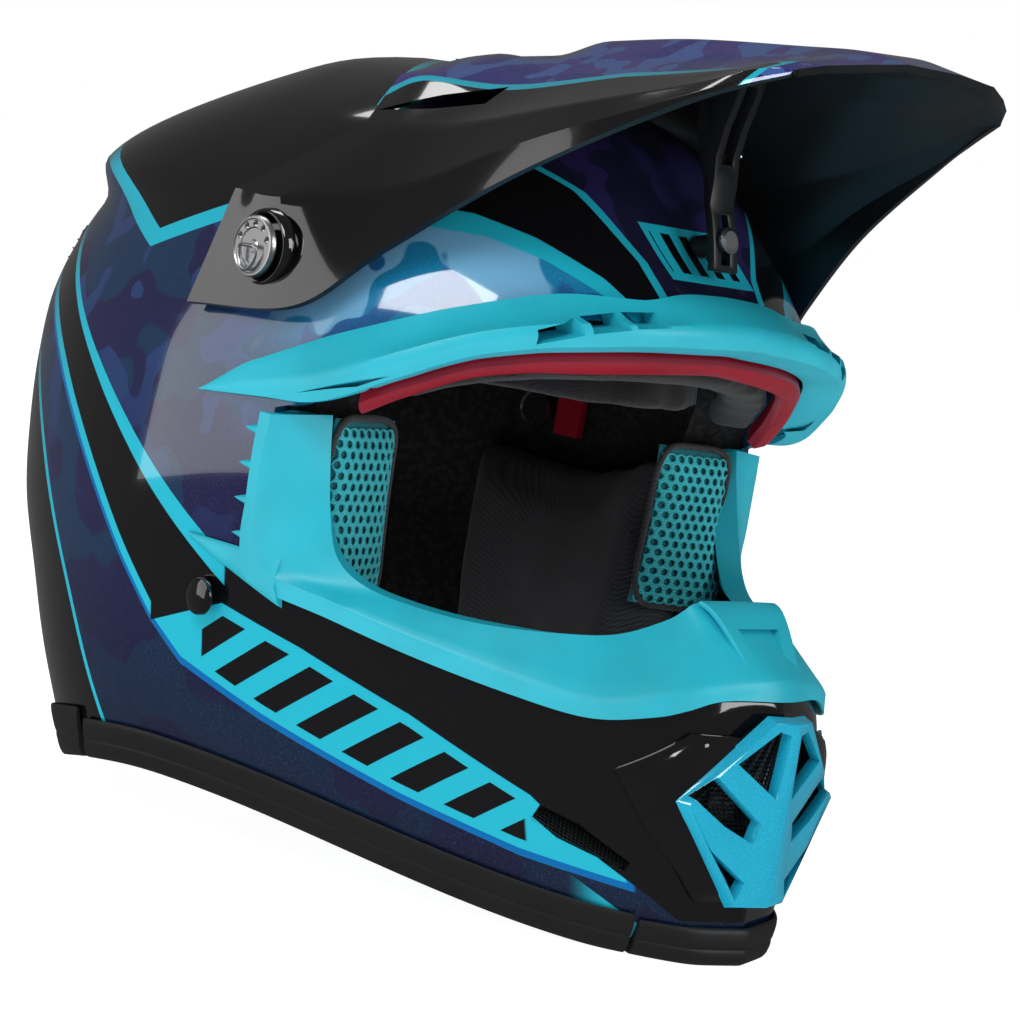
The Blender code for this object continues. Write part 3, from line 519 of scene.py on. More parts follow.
def camouflage(paint, y, z):
    """Soft patches from navy and purple behind to bright blue above the brow, darker towards the bottom, with metal
    flake; the bright blue above the brow is partly paint and partly a painted reflection of the visor.
    """
    patches = paint.noise(34, 1.5, 0.45)
    more = paint.noise(52, 1.0, 0.4, paint.node("ShaderNodeMapping", {}, {
        "Vector": paint.place, "Location": (0.31, 0.17, 0.09)}).outputs[0])
    flake = paint.noise(1500, 1.0)
    dark = paint.mix((0.008, 0.030, 0.080), (0.013, 0.012, 0.060), patches.over(0.5, 0.012))
    dark = paint.mix(dark, (0.018, 0.045, 0.15), more.over(0.56, 0.012) * z.rise(70, 190))
    dark = paint.mix(dark, (0.004, 0.008, 0.026), (1 - z.rise(30, 120)) * 0.7)
    light = paint.mix((0.010, 0.20, 0.40), (0.16, 0.42, 0.66), patches.over(0.50, 0.012))
    light = paint.mix(light, (0.015, 0.11, 0.30), more.over(0.60, 0.012))
    # Ahead of and above the brow the colour turns bright blue, with more flake there: partly paint, partly a painted
    # reflection of the visor.
    brow_paint_and_reflection = (0 - y).rise(-6, 52) * z.rise(128, 182)
    both = paint.mix(dark, light, brow_paint_and_reflection)
    return paint.mix(both, (0.25, 0.42, 0.62), flake.over(0.62, 0.10) * (brow_paint_and_reflection * 0.07 + 0.035))


def make_shell_paint():
    paint = Finish("shell_paint", NAVY, 0.10, Coat_Weight=1.0, Coat_Roughness=0.02, IOR=1.5)
    x, y, z = paint.axes()
    side = abs(x)
    paint.colour = camouflage(paint, y, z)
    first = z - (109 + 0.70 * y)
    width = y.profile(((-10, 9), (90, 3.4)))
    below = first * -1
    paint.lay(CYAN, below.over(0))
    paint.lay(BLACK, (below - width).over(0))
    ahead = y - 13.6
    second = z - (74.3 + 1.203 * ahead - 0.0027 * ahead * ahead)
    rear = y.over(-14, 0.5)
    paint.lay(CYAN, (1.0 - second).over(0) * rear)
    paint.lay(BLUE, (-3.5 - second).over(0) * rear)
    paint.lay(camouflage(paint, y, z), (-5.5 - second).over(0) * rear)
    after = y - 36.1
    third = z - (26.4 + 1.97 * after - 0.0066 * after * after)
    paint.lay(CYAN, (1.0 - third).over(0) * y.over(20, 0.5))
    paint.lay(BLACK, (-3.0 - third).over(0) * y.over(20, 0.5))
    top = y.profile(((-150, 14), (-143.7, 20.3), (-131.5, 29.5), (-113.5, 46.1), (-78, 63.1), (-42, 76.1),
                     (-13.5, 84.1), (15.7, 71.5), (24, 66)))
    low = y.profile(((-150, 12), (-143.7, 20.3), (-109.8, 25.2), (-75, 34.2), (-28.7, 48.7), (2.5, 60.1),
                     (15.7, 71.5), (24, 80)))
    front = 1 - y.over(15.7, 0.3)
    chin = (97.5 - z).over(0) * (0 - y).over(14, 0.5)
    paint.lay(BLACK, (z - top).over(0) * front * either((below - width).over(0), chin))
    paint.lay(camouflage(paint, y, z), (low - z).over(0) * front * y.over(-128, 6))
    band = (top - z).over(0) * (z - low).over(0) * front * y.over(-140, 0.5)
    paint.lay(BLUE, band)
    inner = (top - z).over(0) * (z - low).over(2.4) * front * y.over(-138, 0.5)
    paint.lay(CYAN, inner)
    slant = (y + 1.25 * z) / 21.5
    saw = slant.math("FRACT")
    strokes = saw.over(0.46, 0.012) * (top - z).over(4.0) * (z - low).over(5.6) * front
    paint.lay(BLACK, strokes * y.over(-112, 0.5) * (1 - y.over(-6, 0.3)))
    edge = y.profile(((-60, 222.3), (-46, 222.3), (15, 217), (55.8, 198.7), (150, 236.4)))
    brow = side.profile(((30, 198), (40, 204), (45, 209), (61, 218), (74, 222.3), (90, 222.3)))
    high = z - (edge + (brow - edge) * (1 - y.over(-50, 6)))
    paint.lay(CYAN, high.over(-6.5))
    paint.lay(BLACK, high.over(0))
    panel = z.profile(((196, 22), (205, 23), (216, 26), (225, 33), (235, 40.5), (240, 49), (246, 58),
                       (251, 65), (262, 66)))
    crown = 42.8 - 0.612 * side - y
    inside = (panel - side).over(0) * crown.over(0) * z.over(196, 0.3)
    outside = (panel + 3.6 - side).over(0) * crown.over(-5) * z.over(196, 0.3)
    patches = paint.noise(48, 1.5).over(0.5, 0.012)
    purple = paint.mix((0.010, 0.010, 0.035), (0.022, 0.016, 0.085), patches)
    paint.lay(CYAN, outside)
    paint.lay(purple, inside)
    lean = x + (z - 220.5) * 0.45
    off = abs(z - 220.5)
    ahead = (0 - y).over(40, 1)
    stripes = ((lean + 60) / 8.4).math("FRACT").over(0.5, 0.03)
    paint.lay(CYAN, (21 - abs(lean)).over(0) * (8.2 - off).over(0) * ahead)
    paint.lay(BLACK, (18.6 - abs(lean)).over(0) * (5.8 - off).over(0) * ahead * stripes)
    paint.give(Base_Color=paint.colour, Roughness=paint.noise(25, 3.0) * 0.06 + 0.06)
    return paint


shell_paint = make_shell_paint()
print("shell paint:", len(shell_paint.tree.nodes), "nodes")

# %% [markdown]
# ## The other finishes
# Moulded plastic has a fine spark-eroded grain, lacquered parts are nearly clean, rubber is dull with dust in it, foam
# shows its beads, and cloth shows its knit. Each is a short tree, so that any of them can be changed on its own.

# %% Plastics, rubber, foam and metal
def moulded(name, colour, roughness, grain, worn=0.05):
    """Moulded plastic: colour that drifts a little, fine grain, and roughness that varies."""
    made = Finish(name, colour, roughness)
    drift = made.noise(35, 3.0)
    darker = tuple(c * 0.86 for c in colour)
    made.give(Base_Color=made.mix(colour, darker, drift.rise(0.35, 0.75)),
              Roughness=made.noise(140, 3.0) * worn * 2 + (roughness - worn))
    made.bump(made.noise(2300, 2.0), 0.00006, grain)
    return made


def lacquered(name, colour, roughness=0.05):
    made = Finish(name, colour, roughness, Coat_Weight=1.0, Coat_Roughness=0.02)
    flake = made.noise(1500, 1.0).over(0.6, 0.1)
    made.give(Base_Color=made.mix(colour, tuple(c * 1.2 for c in colour), flake),
              Roughness=made.noise(60, 3.0) * 0.05 + roughness)
    return made


cyan_plastic = moulded("cyan_plastic", (0.018, 0.50, 0.64), 0.42, 0.22)
black_plastic = moulded("black_plastic", (0.011, 0.011, 0.012), 0.42, 0.25)
red_plastic = moulded("red_plastic", (0.33, 0.006, 0.022), 0.38, 0.2)
rubber = moulded("rim_rubber", (0.010, 0.010, 0.011), 0.52, 0.35, 0.09)
under_plastic = moulded("visor_underside", (0.008, 0.009, 0.011), 0.36, 0.3)
gloss_black = lacquered("gloss_black", (0.0035, 0.0035, 0.0045))
cyan_gloss = lacquered("cyan_gloss", (0.012, 0.40, 0.60), 0.10)


def make_foam():
    made = Finish("foam_beads", (0.03, 0.03, 0.033), 0.85)
    bead = made.cells(330)
    made.give(Base_Color=made.mix((0.018, 0.018, 0.020), (0.008, 0.008, 0.009), bead.rise(0.25, 0.62)))
    made.bump(1 - bead, 0.0004, 0.4)
    return made


def make_steel(name, colour, roughness):
    made = Finish(name, colour, roughness, Metallic=1.0)
    streak = made.node("ShaderNodeMapping", {}, {"Vector": made.place, "Scale": (1, 1, 22)}).outputs[0]
    brush = made.noise(160, 3.0, 0.6, streak)
    made.give(Roughness=brush * 0.16 + (roughness - 0.06))
    made.bump(brush, 0.00003, 0.3)
    return made


foam = make_foam()
steel = make_steel("steel", (0.60, 0.61, 0.63), 0.22)
dark_chrome = make_steel("dark_chrome", (0.56, 0.56, 0.57), 0.30)


def make_cloth(name, light, dark, scale, depth, nap=0.0):
    """Knit: fine ribs crossed by stitches, with lint and a worn drift of colour."""
    made = Finish(name, light, 0.92, Sheen_Weight=0.12, Sheen_Roughness=0.5)
    x, y, z = made.axes()
    one = ((x + y) * scale).math("SINE")
    two = ((z + (y - x) * 0.35) * scale).math("SINE")
    knit = (one * two) * 0.5 + 0.5
    lint = made.noise(900, 3.0, 0.7)
    drift = made.noise(30, 3.0)
    tone = made.mix(dark, light, (knit * 0.6 + lint * 0.55).rise(0.25, 0.85))
    made.give(Base_Color=made.mix(tone, tuple(c * 1.35 for c in light), drift.rise(0.45, 0.8) * 0.5))
    made.bump(knit * (1 - nap) + lint * (0.5 + nap), depth, 0.6)
    return made


pad_cloth = make_cloth("pad_cloth", (0.052, 0.053, 0.060), (0.022, 0.022, 0.025), 3.4, 0.0003, 0.5)
lining_cloth = make_cloth("lining_cloth", (0.016, 0.016, 0.019), (0.005, 0.005, 0.006), 5.0, 0.0003)
webbing = make_cloth("webbing", (0.030, 0.030, 0.033), (0.006, 0.006, 0.007), 2.6, 0.0005)
spacer_cloth = make_cloth("spacer_cloth", (0.05, 0.56, 0.62), (0.012, 0.30, 0.36), 6.0, 0.0002)
spacer_back = make_cloth("spacer_back", (0.02, 0.25, 0.29), (0.006, 0.10, 0.13), 6.0, 0.0002)
wire = make_steel("wire_cloth", (0.09, 0.095, 0.10), 0.4)
print("finishes made")


# %% Visor paint
def make_visor_paint():
    """Camouflage along the top, black sides and a cyan line between, laid out on the visor's own map."""
    paint = Finish("visor_paint", NAVY, 0.08, Coat_Weight=1.0, Coat_Roughness=0.02)
    uv = paint.node("ShaderNodeUVMap", {"uv_map": "lengthwise"}).outputs[0]
    split = paint.node("ShaderNodeSeparateXYZ", {}, [uv])
    line = abs(Number(paint, split.outputs[0]) - 0.5) * 12
    length = Number(paint, split.outputs[1]) * 6
    patches = paint.noise(40, 1.5, 0.45).over(0.5, 0.012)
    more = paint.noise(70, 1.0).over(0.55, 0.012)
    paint.colour = paint.mix((0.022, 0.022, 0.20), (0.05, 0.03, 0.22), patches)
    paint.lay((0.05, 0.11, 0.36), more)
    paint.lay((0.4, 0.5, 0.75), paint.noise(1500, 1.0).over(0.62, 0.1) * 0.10)
    edge = length.profile(((0, 3.3), (1, 2.95), (2, 2.72), (3, 2.55), (4, 2.7), (5, 3.0), (5.3, 3.2),
                           (6, 3.2)))
    back = 1 - length.over(5.32, 0.01)
    rear = length.over(5.15, 0.01) * back * line.over(2.9, 0.02)
    paint.lay(CYAN, either((line - edge).over(0, 0.01) * back, rear))
    paint.lay(BLACK, (line - edge).over(0.16, 0.01) * (1 - length.over(5.12, 0.01)))
    paint.lay(CYAN, (1 - length.over(0.5, 0.02)) * (2.2 - line).over(0, 0.01))
    paint.lay(BLACK, (1 - length.over(0.28, 0.02)) * (2.2 - line).over(0, 0.01))
    paint.give(Base_Color=paint.colour, Roughness=paint.noise(25, 3.0) * 0.06 + 0.05)
    return paint


visor_paint = make_visor_paint()

# %% [markdown]
# ## The shell
# The shell is a lacquered composite skin about 4 mm thick. A fine sheet laid on the rule and closed at the crown gives
# its outside. Solidify could give the wall, but it folds over at the blunt chin, so a second sheet is laid inside the
# first and bridged to it along the rim. Boolean cutters open the face and the vents as a router would.

# %% The shell's skin and openings
FACE_OPENING = ((-260, 198), (-107, 198), (-92, 195), (-75, 186), (-58, 174), (-45, 162), (-34, 154),
                (-25.5, 151), (-25, 108), (-28, 97), (-50, 92.5), (-76, 86.5), (-102, 81.5),
                (-124, 78.5), (-138, 82), (-150, 90), (-260, 115))
VENT_CORNERS = ((9, 83), (37, 54), (12, 20))
SIDE_VENT = ((-112, 43), (-141, 27))  # y, z of its rear and front ends
SIDE_VENT_SCALE = 0.8
ROW_CROWDING = 1.25  # above 1, rows of the shell's grid lie closer together towards the crown


def vent_outline(scale):
    right = [(x * scale, 52 + (z - 52) * scale) for x, z in VENT_CORNERS]
    return right + [(-x, z) for x, z in reversed(right)]


def side_vent_cutter(side):
    """A slanted block across the shell at the chin's side vent."""
    a, b = (on_side(*end) for end in SIDE_VENT)
    run = (b - a) / np.linalg.norm(b - a)
    out = np.cross(run, (0, 0, 1.0))
    out /= np.linalg.norm(out)
    out = out if out[0] > 0 else -out
    up = np.cross(out, run)
    middle, reach = (a + b) / 2, np.linalg.norm(b - a) / 2 * SIDE_VENT_SCALE
    rings = []
    for depth in (-8, 6):
        ring = [middle + run * reach * p + up * 5 * SIDE_VENT_SCALE * q + out * depth
                for p, q in ((-1, -0.6), (-1, 0.6), (-0.4, 1), (1, 0.3), (1, -0.5), (-0.2, -1))]
        rings.append([(side * p[0], p[1], p[2]) for p in ring])
    return loft("side_vent_cutter", rings, levels=0)


def double_skin(name, columns, rows, outer, inner):
    """Two sheets of the same outline, one inside the other, bridged along their open edges."""
    skin, _, _ = sheet(name, columns, rows, outer)
    lining, _, _ = sheet(name + "_inside", columns, rows, inner)
    edit(skin, merge)
    edit(lining, merge)
    join(skin, [lining])

    def bridge():
        bpy.ops.mesh.select_mode(type="EDGE")
        bpy.ops.mesh.select_all(action="DESELECT")
        bpy.ops.mesh.select_non_manifold()
        bpy.ops.mesh.bridge_edge_loops()
        bpy.ops.mesh.select_all(action="SELECT")

    edit(skin, bridge, facing_out)
    return skin


def dome_rule(lowest, inset):
    """A rule for a sheet that runs from the lower rim, or a height, up to the crown."""
    def place(u, v):
        angle = u * 360
        low = rim_height(angle) + lowest if lowest < 100 else lowest + 0 * angle
        height = low + (CROWN - low) * (1 - (1 - v) ** ROW_CROWDING)
        return wall(angle, height, inset(height) if callable(inset) else inset)
    return place


def make_shell():
    shell = double_skin("helmet_shell", 180, 88, dome_rule(5, 0.0), dome_rule(5, 4.0))
    cut(shell, prism("face_cutter", FACE_OPENING, -200, 200))
    cut(shell, prism("vent_cutter", vent_outline(0.88), -130, -200, "Y"))
    for side in (-1, 1):
        cut(shell, side_vent_cutter(side))
    finish_piece(shell, "helmet", "shell_paint", shell_paint, "outer_shell", angle=40)


make_shell()

# %% [markdown]
# ## The visor
# A visor, or peak, is one injection-moulded sheet: a crowned top, a sharp shoulder along each side and a flat arm that
# the side screw holds. Its form is set by lines from back to front, so a sheet runs through them, and Solidify gives
# the wall. The sheet keeps a map of its own, which the paint follows.

# %% The visor's skin
VISOR_LINES = np.array((
    ((0, 26, 280), (0, 0, 284), (0, -45, 288), (0, -89, 291), (0, -135, 292.5), (0, -162, 292.5),
     (0, -179, 289)),
    ((20, 24, 278), (20, 0, 281), (22, -45, 285), (24, -89, 289), (24, -135, 290.5), (23, -160, 291),
     (22, -176, 288.5)),
    ((26, 3, 277), (30, -12, 278), (36, -45, 277), (38, -89, 280), (38, -135, 284), (37, -158, 286.5),
     (35, -171, 286)),
    ((62, 4, 263.5), (62, -10, 264), (60, -45, 262), (56, -89, 270), (52, -130, 278), (49, -150, 283),
     (46, -165, 283.5)),
    ((84, -8, 245.5), (83, -18, 246), (79, -45, 249), (72, -89, 261), (63, -128, 272), (57, -146, 279),
     (52.5, -159.5, 281)),
    ((115, 15, 217), (113, -8, 217), (99, -45, 226), (84, -86, 248), (69, -126, 266), (61, -144, 274.5),
     (53.5, -158.5, 280)),
    ((126, 17, 178), (119, -28, 184), (106, -50, 206), (88, -84, 236), (70.5, -125, 263), (62, -143, 272.5),
     (54, -158, 279)),
), float)
VISOR_GAP = ((-6, 250), (-24, 258.5), (-43, 264.5), (-44, 257.5), (-26, 253))


def visor_point(u, v):
    """A place on the visor: u from one lower edge to the other, v from back to front."""
    line = np.abs(u - 0.5) * 12
    first = np.minimum(line.astype(int), 5)
    share = (line - first)[:, None]
    eased = 0.35 * share * share * (3 - 2 * share) + 0.65 * share
    rows = np.stack([spline(l, v * 6) for l in VISOR_LINES])
    which = np.arange(len(u))
    points = rows[first, which] * (1 - eased) + rows[first + 1, which] * eased
    y = points[:, 1]
    points[:, 2] -= 4.5 * ease(-52, -26, y) * ease(2.4, 1.2, line) * ease(45, 20, y)
    points[:, 0] *= np.where(u < 0.5, -1, 1)
    return points


def make_visor():
    visor, u, v = sheet("visor_skin", 96, 72, visor_point, uv=True)
    layer = visor.data.uv_layers[0]
    layer.name = "lengthwise"
    loops = np.empty(len(visor.data.loops), int)
    visor.data.loops.foreach_get("vertex_index", loops)
    layer.data.foreach_set("uv", np.stack([u[loops], v[loops]], -1).ravel())
    if sum(face.normal.z for face in visor.data.polygons) < 0:
        visor.data.flip_normals()
    visor.data.materials.append(visor_paint.material)
    visor.data.materials.append(under_plastic.material)
    modify(visor, "SOLIDIFY", thickness=0.0024, offset=-1, use_even_offset=True, material_offset=1,
           material_offset_rim=1)
    for side in (-1, 1):
        cut(visor, prism("pivot_hole", circle(*PIVOT, 3.6, 24), side * 90, side * 140))
        cut(visor, prism("rear_opening", VISOR_GAP, side * 48, side * 96))
    smooth(visor, 28)
    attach(visor, "visor")
    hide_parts("visor")
    print("visor", len(visor.data.polygons), "faces")


make_visor()

# %% [markdown]
# ## Camera, floor and light
# A studio picture of a gloss helmet is lit by large soft boxes, which draw the long pale streaks on the lacquer. The
# floor is plain and pale, and the surroundings are bright to the camera and dimmer to the lacquer.

# %% Camera
from mathutils import Matrix, Vector
camera_data = bpy.data.cameras.new("camera")
camera_data.lens = 94.62
camera_data.sensor_width = 36
camera = bpy.data.objects.new("camera", camera_data)
bpy.context.scene.collection.objects.link(camera)
RIGHT = (0.70711, -0.68611, 0.17106)
UP = (-0.04120, 0.20153, 0.97863)
BACK = (-0.70591, -0.69903, 0.11424)
PLACE = (-0.66661, -0.68131, 0.22937)
camera.matrix_world = Matrix([*zip(RIGHT, UP, BACK, PLACE), (0, 0, 0, 1)])
bpy.context.scene.camera = camera
bpy.context.scene.view_settings.view_transform = "Standard"

# %% Floor and surroundings
bpy.ops.object.select_all(action="DESELECT")
bpy.ops.mesh.primitive_plane_add(size=80, location=(0, 0, -0.0005))
floor = bpy.context.object
floor.name = "floor"
pale = Finish("pale_floor", (0.6, 0.6, 0.6), 0.9, Emission_Strength=0.95)
pale.shader.inputs["Emission Color"].default_value = (1, 1, 1, 1)
pale.give(Base_Color=pale.mix((0.60, 0.60, 0.60), (0.63, 0.63, 0.63), pale.noise(3)))
floor.data.materials.append(pale.material)
floor.visible_glossy = False

world = bpy.data.worlds.new("studio")
bpy.context.scene.world = world
world.use_nodes = True
tree = world.node_tree
sky = tree.nodes["Background"]
rays = tree.nodes.new("ShaderNodeLightPath")
level = tree.nodes.new("ShaderNodeMapRange")  # full to the camera, a tenth to everything else
level.inputs["To Min"].default_value = 0.10
level.inputs["To Max"].default_value = 1.0
tree.links.new(rays.outputs["Is Camera Ray"], level.inputs["Value"])
tree.links.new(level.outputs[0], sky.inputs["Strength"])
sky.inputs["Color"].default_value = (1, 1, 1, 1)


# %% Soft boxes
def soft_box(name, place, target, size, power):
    light = bpy.data.lights.new(name, "AREA")
    light.shape = "RECTANGLE"
    light.size, light.size_y = size
    light.energy = power
    lamp = bpy.data.objects.new(name, light)
    lamp.location = place
    away = np.array(place, float) - np.array(target, float)
    lamp.rotation_euler = Vector(away).to_track_quat("Z", "Y").to_euler()
    bpy.context.scene.collection.objects.link(lamp)


soft_box("key", (-1.5, -0.5, 1.5), (0, 0, 0.15), (1.1, 0.7), 19)
soft_box("front", (0.5, -1.9, 1.0), (0, 0, 0.15), (0.9, 0.9), 12)
soft_box("left_strip", (-1.7, 0.9, 0.5), (0, 0, 0.15), (1.3, 1.4), 8)
soft_box("rim", (0.5, 1.1, 2.1), (0, 0, 0.2), (1.2, 0.6), 8)
print("lights set")

# %% [markdown]
# ## Brow trim
# The cyan eyebrow is one soft moulding that wraps the edge of the shell: a ledge with air slots above, a crisp nose,
# and a return underneath. It could be carved from a block, but its section changes evenly along the brow, so a skin
# through a hundred rings is truer, and the slots are cut afterwards.

# %% Brow trim
# Pairs of degrees from the front and height.
BROW_LOW = np.array([(0, 191.5), (17, 189), (33, 184), (43, 178), (51, 169), (62, 156), (70, 153.5),
                     (80, 151)])
BROW_TOP = np.array([(0, 208), (8, 207), (16, 203.5), (32, 201), (48, 191), (62, 177.5), (74, 163),
                     (80, 151.5)])
BROW_SLOTS = (((77, 190.6), (65, 195.9), (64.0, 191.2), (76.4, 186.0)),
              ((62.8, 196.7), (51.2, 199.5), (50.2, 195.1), (61.6, 192.1)),
              ((49, 199.9), (37, 201.4), (36.6, 197.6), (48, 195.8)))
BROW_DUCT = ((-66, 168.5), (-46, 160.5), (-38, 157.5), (-58, 163.5))


def height_along(table, degrees):
    position = np.interp(abs(degrees), table[:, 0], np.arange(len(table)))
    return float(spline(table[:, [1, 1]], position)[0])


def make_brow_trim():
    rings = []
    for degrees in np.linspace(-80, 80, 101):
        low, top = height_along(BROW_LOW, degrees), height_along(BROW_TOP, degrees)
        turn, tall = abs(degrees), top - low
        proud = (9 + 3 * math.exp(-((turn - 50) / 12) ** 2)) * float(ease(83, 56, turn)) + 1.2
        lip = 4.4 if turn < 57 else -1.1
        ledge = 1.2 * float(ease(8, 16, turn) * ease(60, 50, turn))
        section = ((top, -1), (top - 0.3, -0.30 * proud - 1), (top - 0.16 * tall, -0.46 * proud - 1 + ledge),
                   (low + 0.52 * tall, -0.80 * proud - 0.6 + ledge), (low + 0.40 * tall, -0.97 * proud - 0.3),
                   (low + 0.22 * tall, -proud - 0.4), (low + 0.2, -0.72 * proud - 0.4), (low, lip),
                   (low + 0.14 * tall, lip), (low + 0.2 * tall, -1))
        rings.append(wall(180 + degrees, [h for h, _ in section], [d for _, d in section]))
    trim = loft("brow_moulding", rings, sharp=(1, 3, 4, 6, 7), levels=1)
    for side in (-1, 1):
        for slot in BROW_SLOTS:
            outline = [(side * x, z) for x, z in slot]
            cut(trim, prism("slot_cutter", outline, -60, -140, "Y"))
    for side in (-1, 1):
        cut(trim, prism("duct_cutter", BROW_DUCT, side * 80, side * 140))
    finish_piece(trim, "helmet", "cyan_plastic", cyan_plastic, "brow_trim", angle=30)


make_brow_trim()

# %% [markdown]
# ## Face frame
# The frame of the face opening clips over the shell's edge and turns into the port. Its stations hold the outer edge,
# the shell's edge and the inner edge, and a finer set runs through them on a spline. Fins, the pointed wing at each
# rear corner and the block on the chin are modelled on their own and joined.

# %% Frame stations
# For each station: y, z of the outer edge, y, z of the shell's edge, and x, y, z of the inner edge.
FRAME_STATIONS = (
    ((-22, 149), (-27, 149), (99.5, -33, 151)), ((-22, 136), (-26.5, 136), (99.8, -36, 137)),
    ((-22, 120), (-26.5, 120), (100, -41, 120)), ((-21, 107), (-26.5, 108), (99, -47, 107)),
    ((-24, 94), (-30, 98.5), (94, -57, 100)), ((-50, 88.5), (-50.5, 94), (85, -73, 97)),
    ((-76, 82.5), (-76.5, 88), (73, -90, 96)), ((-102, 77.5), (-102.5, 83), (57, -106, 97)),
    ((-124, 74.5), (-124.5, 80), (41, -117, 99)), ((-138, 78), (-139, 86), (27, -124, 105)),
    ((-144, 81.5), (-145, 89.5), (21.5, -126.5, 109)), ((-149, 86), (-150.5, 92), (17, -128, 112)),
)


def frame_ring(base, over, inner):
    """The frame's section at a station: over the shell's edge, then in to the port and back."""
    sideways = (inner - over) / np.linalg.norm(inner - over)
    ahead = np.array((base[0] / 127, (base[1] - 28) / 140, 0))
    ahead /= np.linalg.norm(ahead)
    outward = ahead - sideways * np.dot(ahead, sideways)
    outward /= np.linalg.norm(outward)
    half = 0.45 * over + 0.55 * inner
    deep = inner - 8 * outward
    return [base + ahead, base + 2.9 * ahead, over + 4.3 * ahead, over + 4.7 * ahead + 2.5 * sideways,
            half + 2.6 * outward, inner + 1.5 * outward, deep, deep - 2.4 * sideways,
            over - 6 * ahead + (0, -2.0, 2.5), over + ahead]


def make_face_frame():
    rows = [np.concatenate((on_side(*a), on_side(*b), c)) for a, b, c in FRAME_STATIONS]
    rows.append(np.concatenate((wall(180, 87), wall(180, 93.5), (0, -128, 112))))
    mirror = np.array((-1, 1, 1) * 3)
    rows = np.array(rows + [row * mirror for row in rows[-2::-1]])
    finer = spline(rows, np.linspace(0, len(rows) - 1, 121))
    rings = [frame_ring(row[:3], row[3:6], row[6:]) for row in finer]
    frame_piece = loft("frame_moulding", rings, sharp=(1, 2, 3, 5, 6), levels=1)
    parts = []
    for side in (-1, 1):
        flip = np.array((side, 1, 1))
        for z in (143, 131.5, 120, 108.5):
            fin = []
            for share in np.linspace(0, 1, 7):
                y = -24.5 + 7.5 * share
                tall = 2.4 * (1 - share) ** 0.8 + 0.15
                high = 2.6 * (1 - share) + 0.3
                fin.append([on_side(y, z + q * tall, 0.4 - p * high - 0.9) * flip
                            for p, q in ((0, -1), (0.8, -0.6), (1, 0), (0.8, 0.6), (0, 1))])
            parts.append(loft("fin", fin, sharp=(0, 4), levels=1))
        wing = []
        for share in np.linspace(0, 1, 15):
            y = -36 + 36.5 * share
            middle = 95.5 + 9.0 * share
            tall = 8.3 * (1 - share) ** 0.9 + 0.15
            high = 3.6 * (1 - share) ** 0.7 + 0.3
            wing.append([on_side(y, middle + q * tall, -p * high - 0.7) * flip
                         for p, q in ((0, -1), (0.45, -0.85), (1, -0.15), (0.75, 0.55), (0.3, 0.95), (0, 1))])
        parts.append(loft("wing", wing, sharp=(0, 2, 5), levels=1))
    block = []
    for share, out in ((0, 0.4), (0.12, 3.6), (0.5, 4.6), (0.88, 4.0), (1, 0.4)):
        half = 19.5 - 8 * share
        y, z = -129.5 - 21 * share, 113.4 - 24 * share
        block.append([(half * q, y - out * 0.72 + 3.2 * (1 - p) - abs(q) * 0.8,
                       z + out * 0.70 - 3.2 * (1 - p))
                      for p, q in ((0, -1), (1, -0.96), (1, -0.5), (1, 0.5), (1, 0.96), (0, 1))])
    chin = loft("chin_block", block, sharp=(1, 4), levels=2)
    cut(chin, prism("chin_recess", ((-10, 107), (10, 107), (7, 99), (-7, 99)), -139, -170, "Y", 1.1))
    parts.append(chin)
    join(frame_piece, parts)
    finish_piece(frame_piece, "helmet", "cyan_plastic", cyan_plastic, "face_opening_frame", angle=30)


make_face_frame()

# %% [markdown]
# ## Chin: housing, mouth vent and side vents
# The glossy chin panel is a plate that follows the shell. The bezel in it is a folded plate with six windows and bars
# between them, so a prism is bevelled after its windows are cut. Wire cloth is real wire: a grid through the Wireframe
# modifier.

# %% Chin panel
MOUTH_SPAN = np.array([(12, 13), (24, 19), (42, 26), (60, 30), (74, 21), (84, 15)])  # height, degrees each way


def make_housing():
    def rule(depth, crown):
        def place(u, v):
            height = 21 + 54 * v
            half = np.interp(height, MOUTH_SPAN[:, 0], MOUTH_SPAN[:, 1])
            rise = ease(0, 0.07, u) * ease(1, 0.93, u) * ease(0, 0.07, v) * ease(1, 0.95, v)
            return wall(180 + (u * 2 - 1) * half, height, -depth - crown * rise)
        return place

    housing = double_skin("chin_panel", 64, 40, rule(1.5, 1.7), rule(0.7, 0))
    cut(housing, prism("panel_cutter", vent_outline(0.9), -130, -200, "Y"))
    finish_piece(housing, "helmet", "black_gloss", gloss_black, "mouth_housing")


make_housing()

# %% Mouth vent
VENT_WINDOWS = (((4, 58), (19, 68), (7, 78), (3, 77)), ((33, 56), (26, 62), (9, 49), (10.5, 43), (21, 48)),
                ((24, 39), (18, 31.5), (12.5, 24), (10.5, 29.5)))


def fold(thing):
    """Bends a flat plate into the chin's shallow V about the middle."""
    flat = points_of(thing)
    flat[1::3] += NOSE_FOLD * np.abs(flat[0::3])
    put_points(thing, flat)


def make_bezel():
    bezel = prism("vent_bezel", vent_outline(1.0), -161.2, -165.4, "Y", 0.955)
    for window in VENT_WINDOWS:
        for side in (-1, 1):
            outline = [(side * x, z) for x, z in window]
            cut(bezel, prism("window_cutter", outline, -155, -175, "Y", 1.22))

    def split():
        bpy.ops.mesh.bisect(plane_co=(0, 0, 0), plane_no=(1, 0, 0))

    edit(bezel, split)
    bevel(bezel, 0.6, 28)
    fold(bezel)
    spine = [[(x, y, z) for x, y in ((-1.6, -163.6), (0, -166.2), (1.6, -163.6), (0, -161.4))]
             for z in np.linspace(24, 79, 12)]
    ridge = loft("spine", spine, sharp=(1,), levels=1)
    join(bezel, [ridge])
    finish_piece(bezel, "helmet", "cyan_gloss", cyan_gloss, "mouth_vent_bezel", angle=30)


make_bezel()


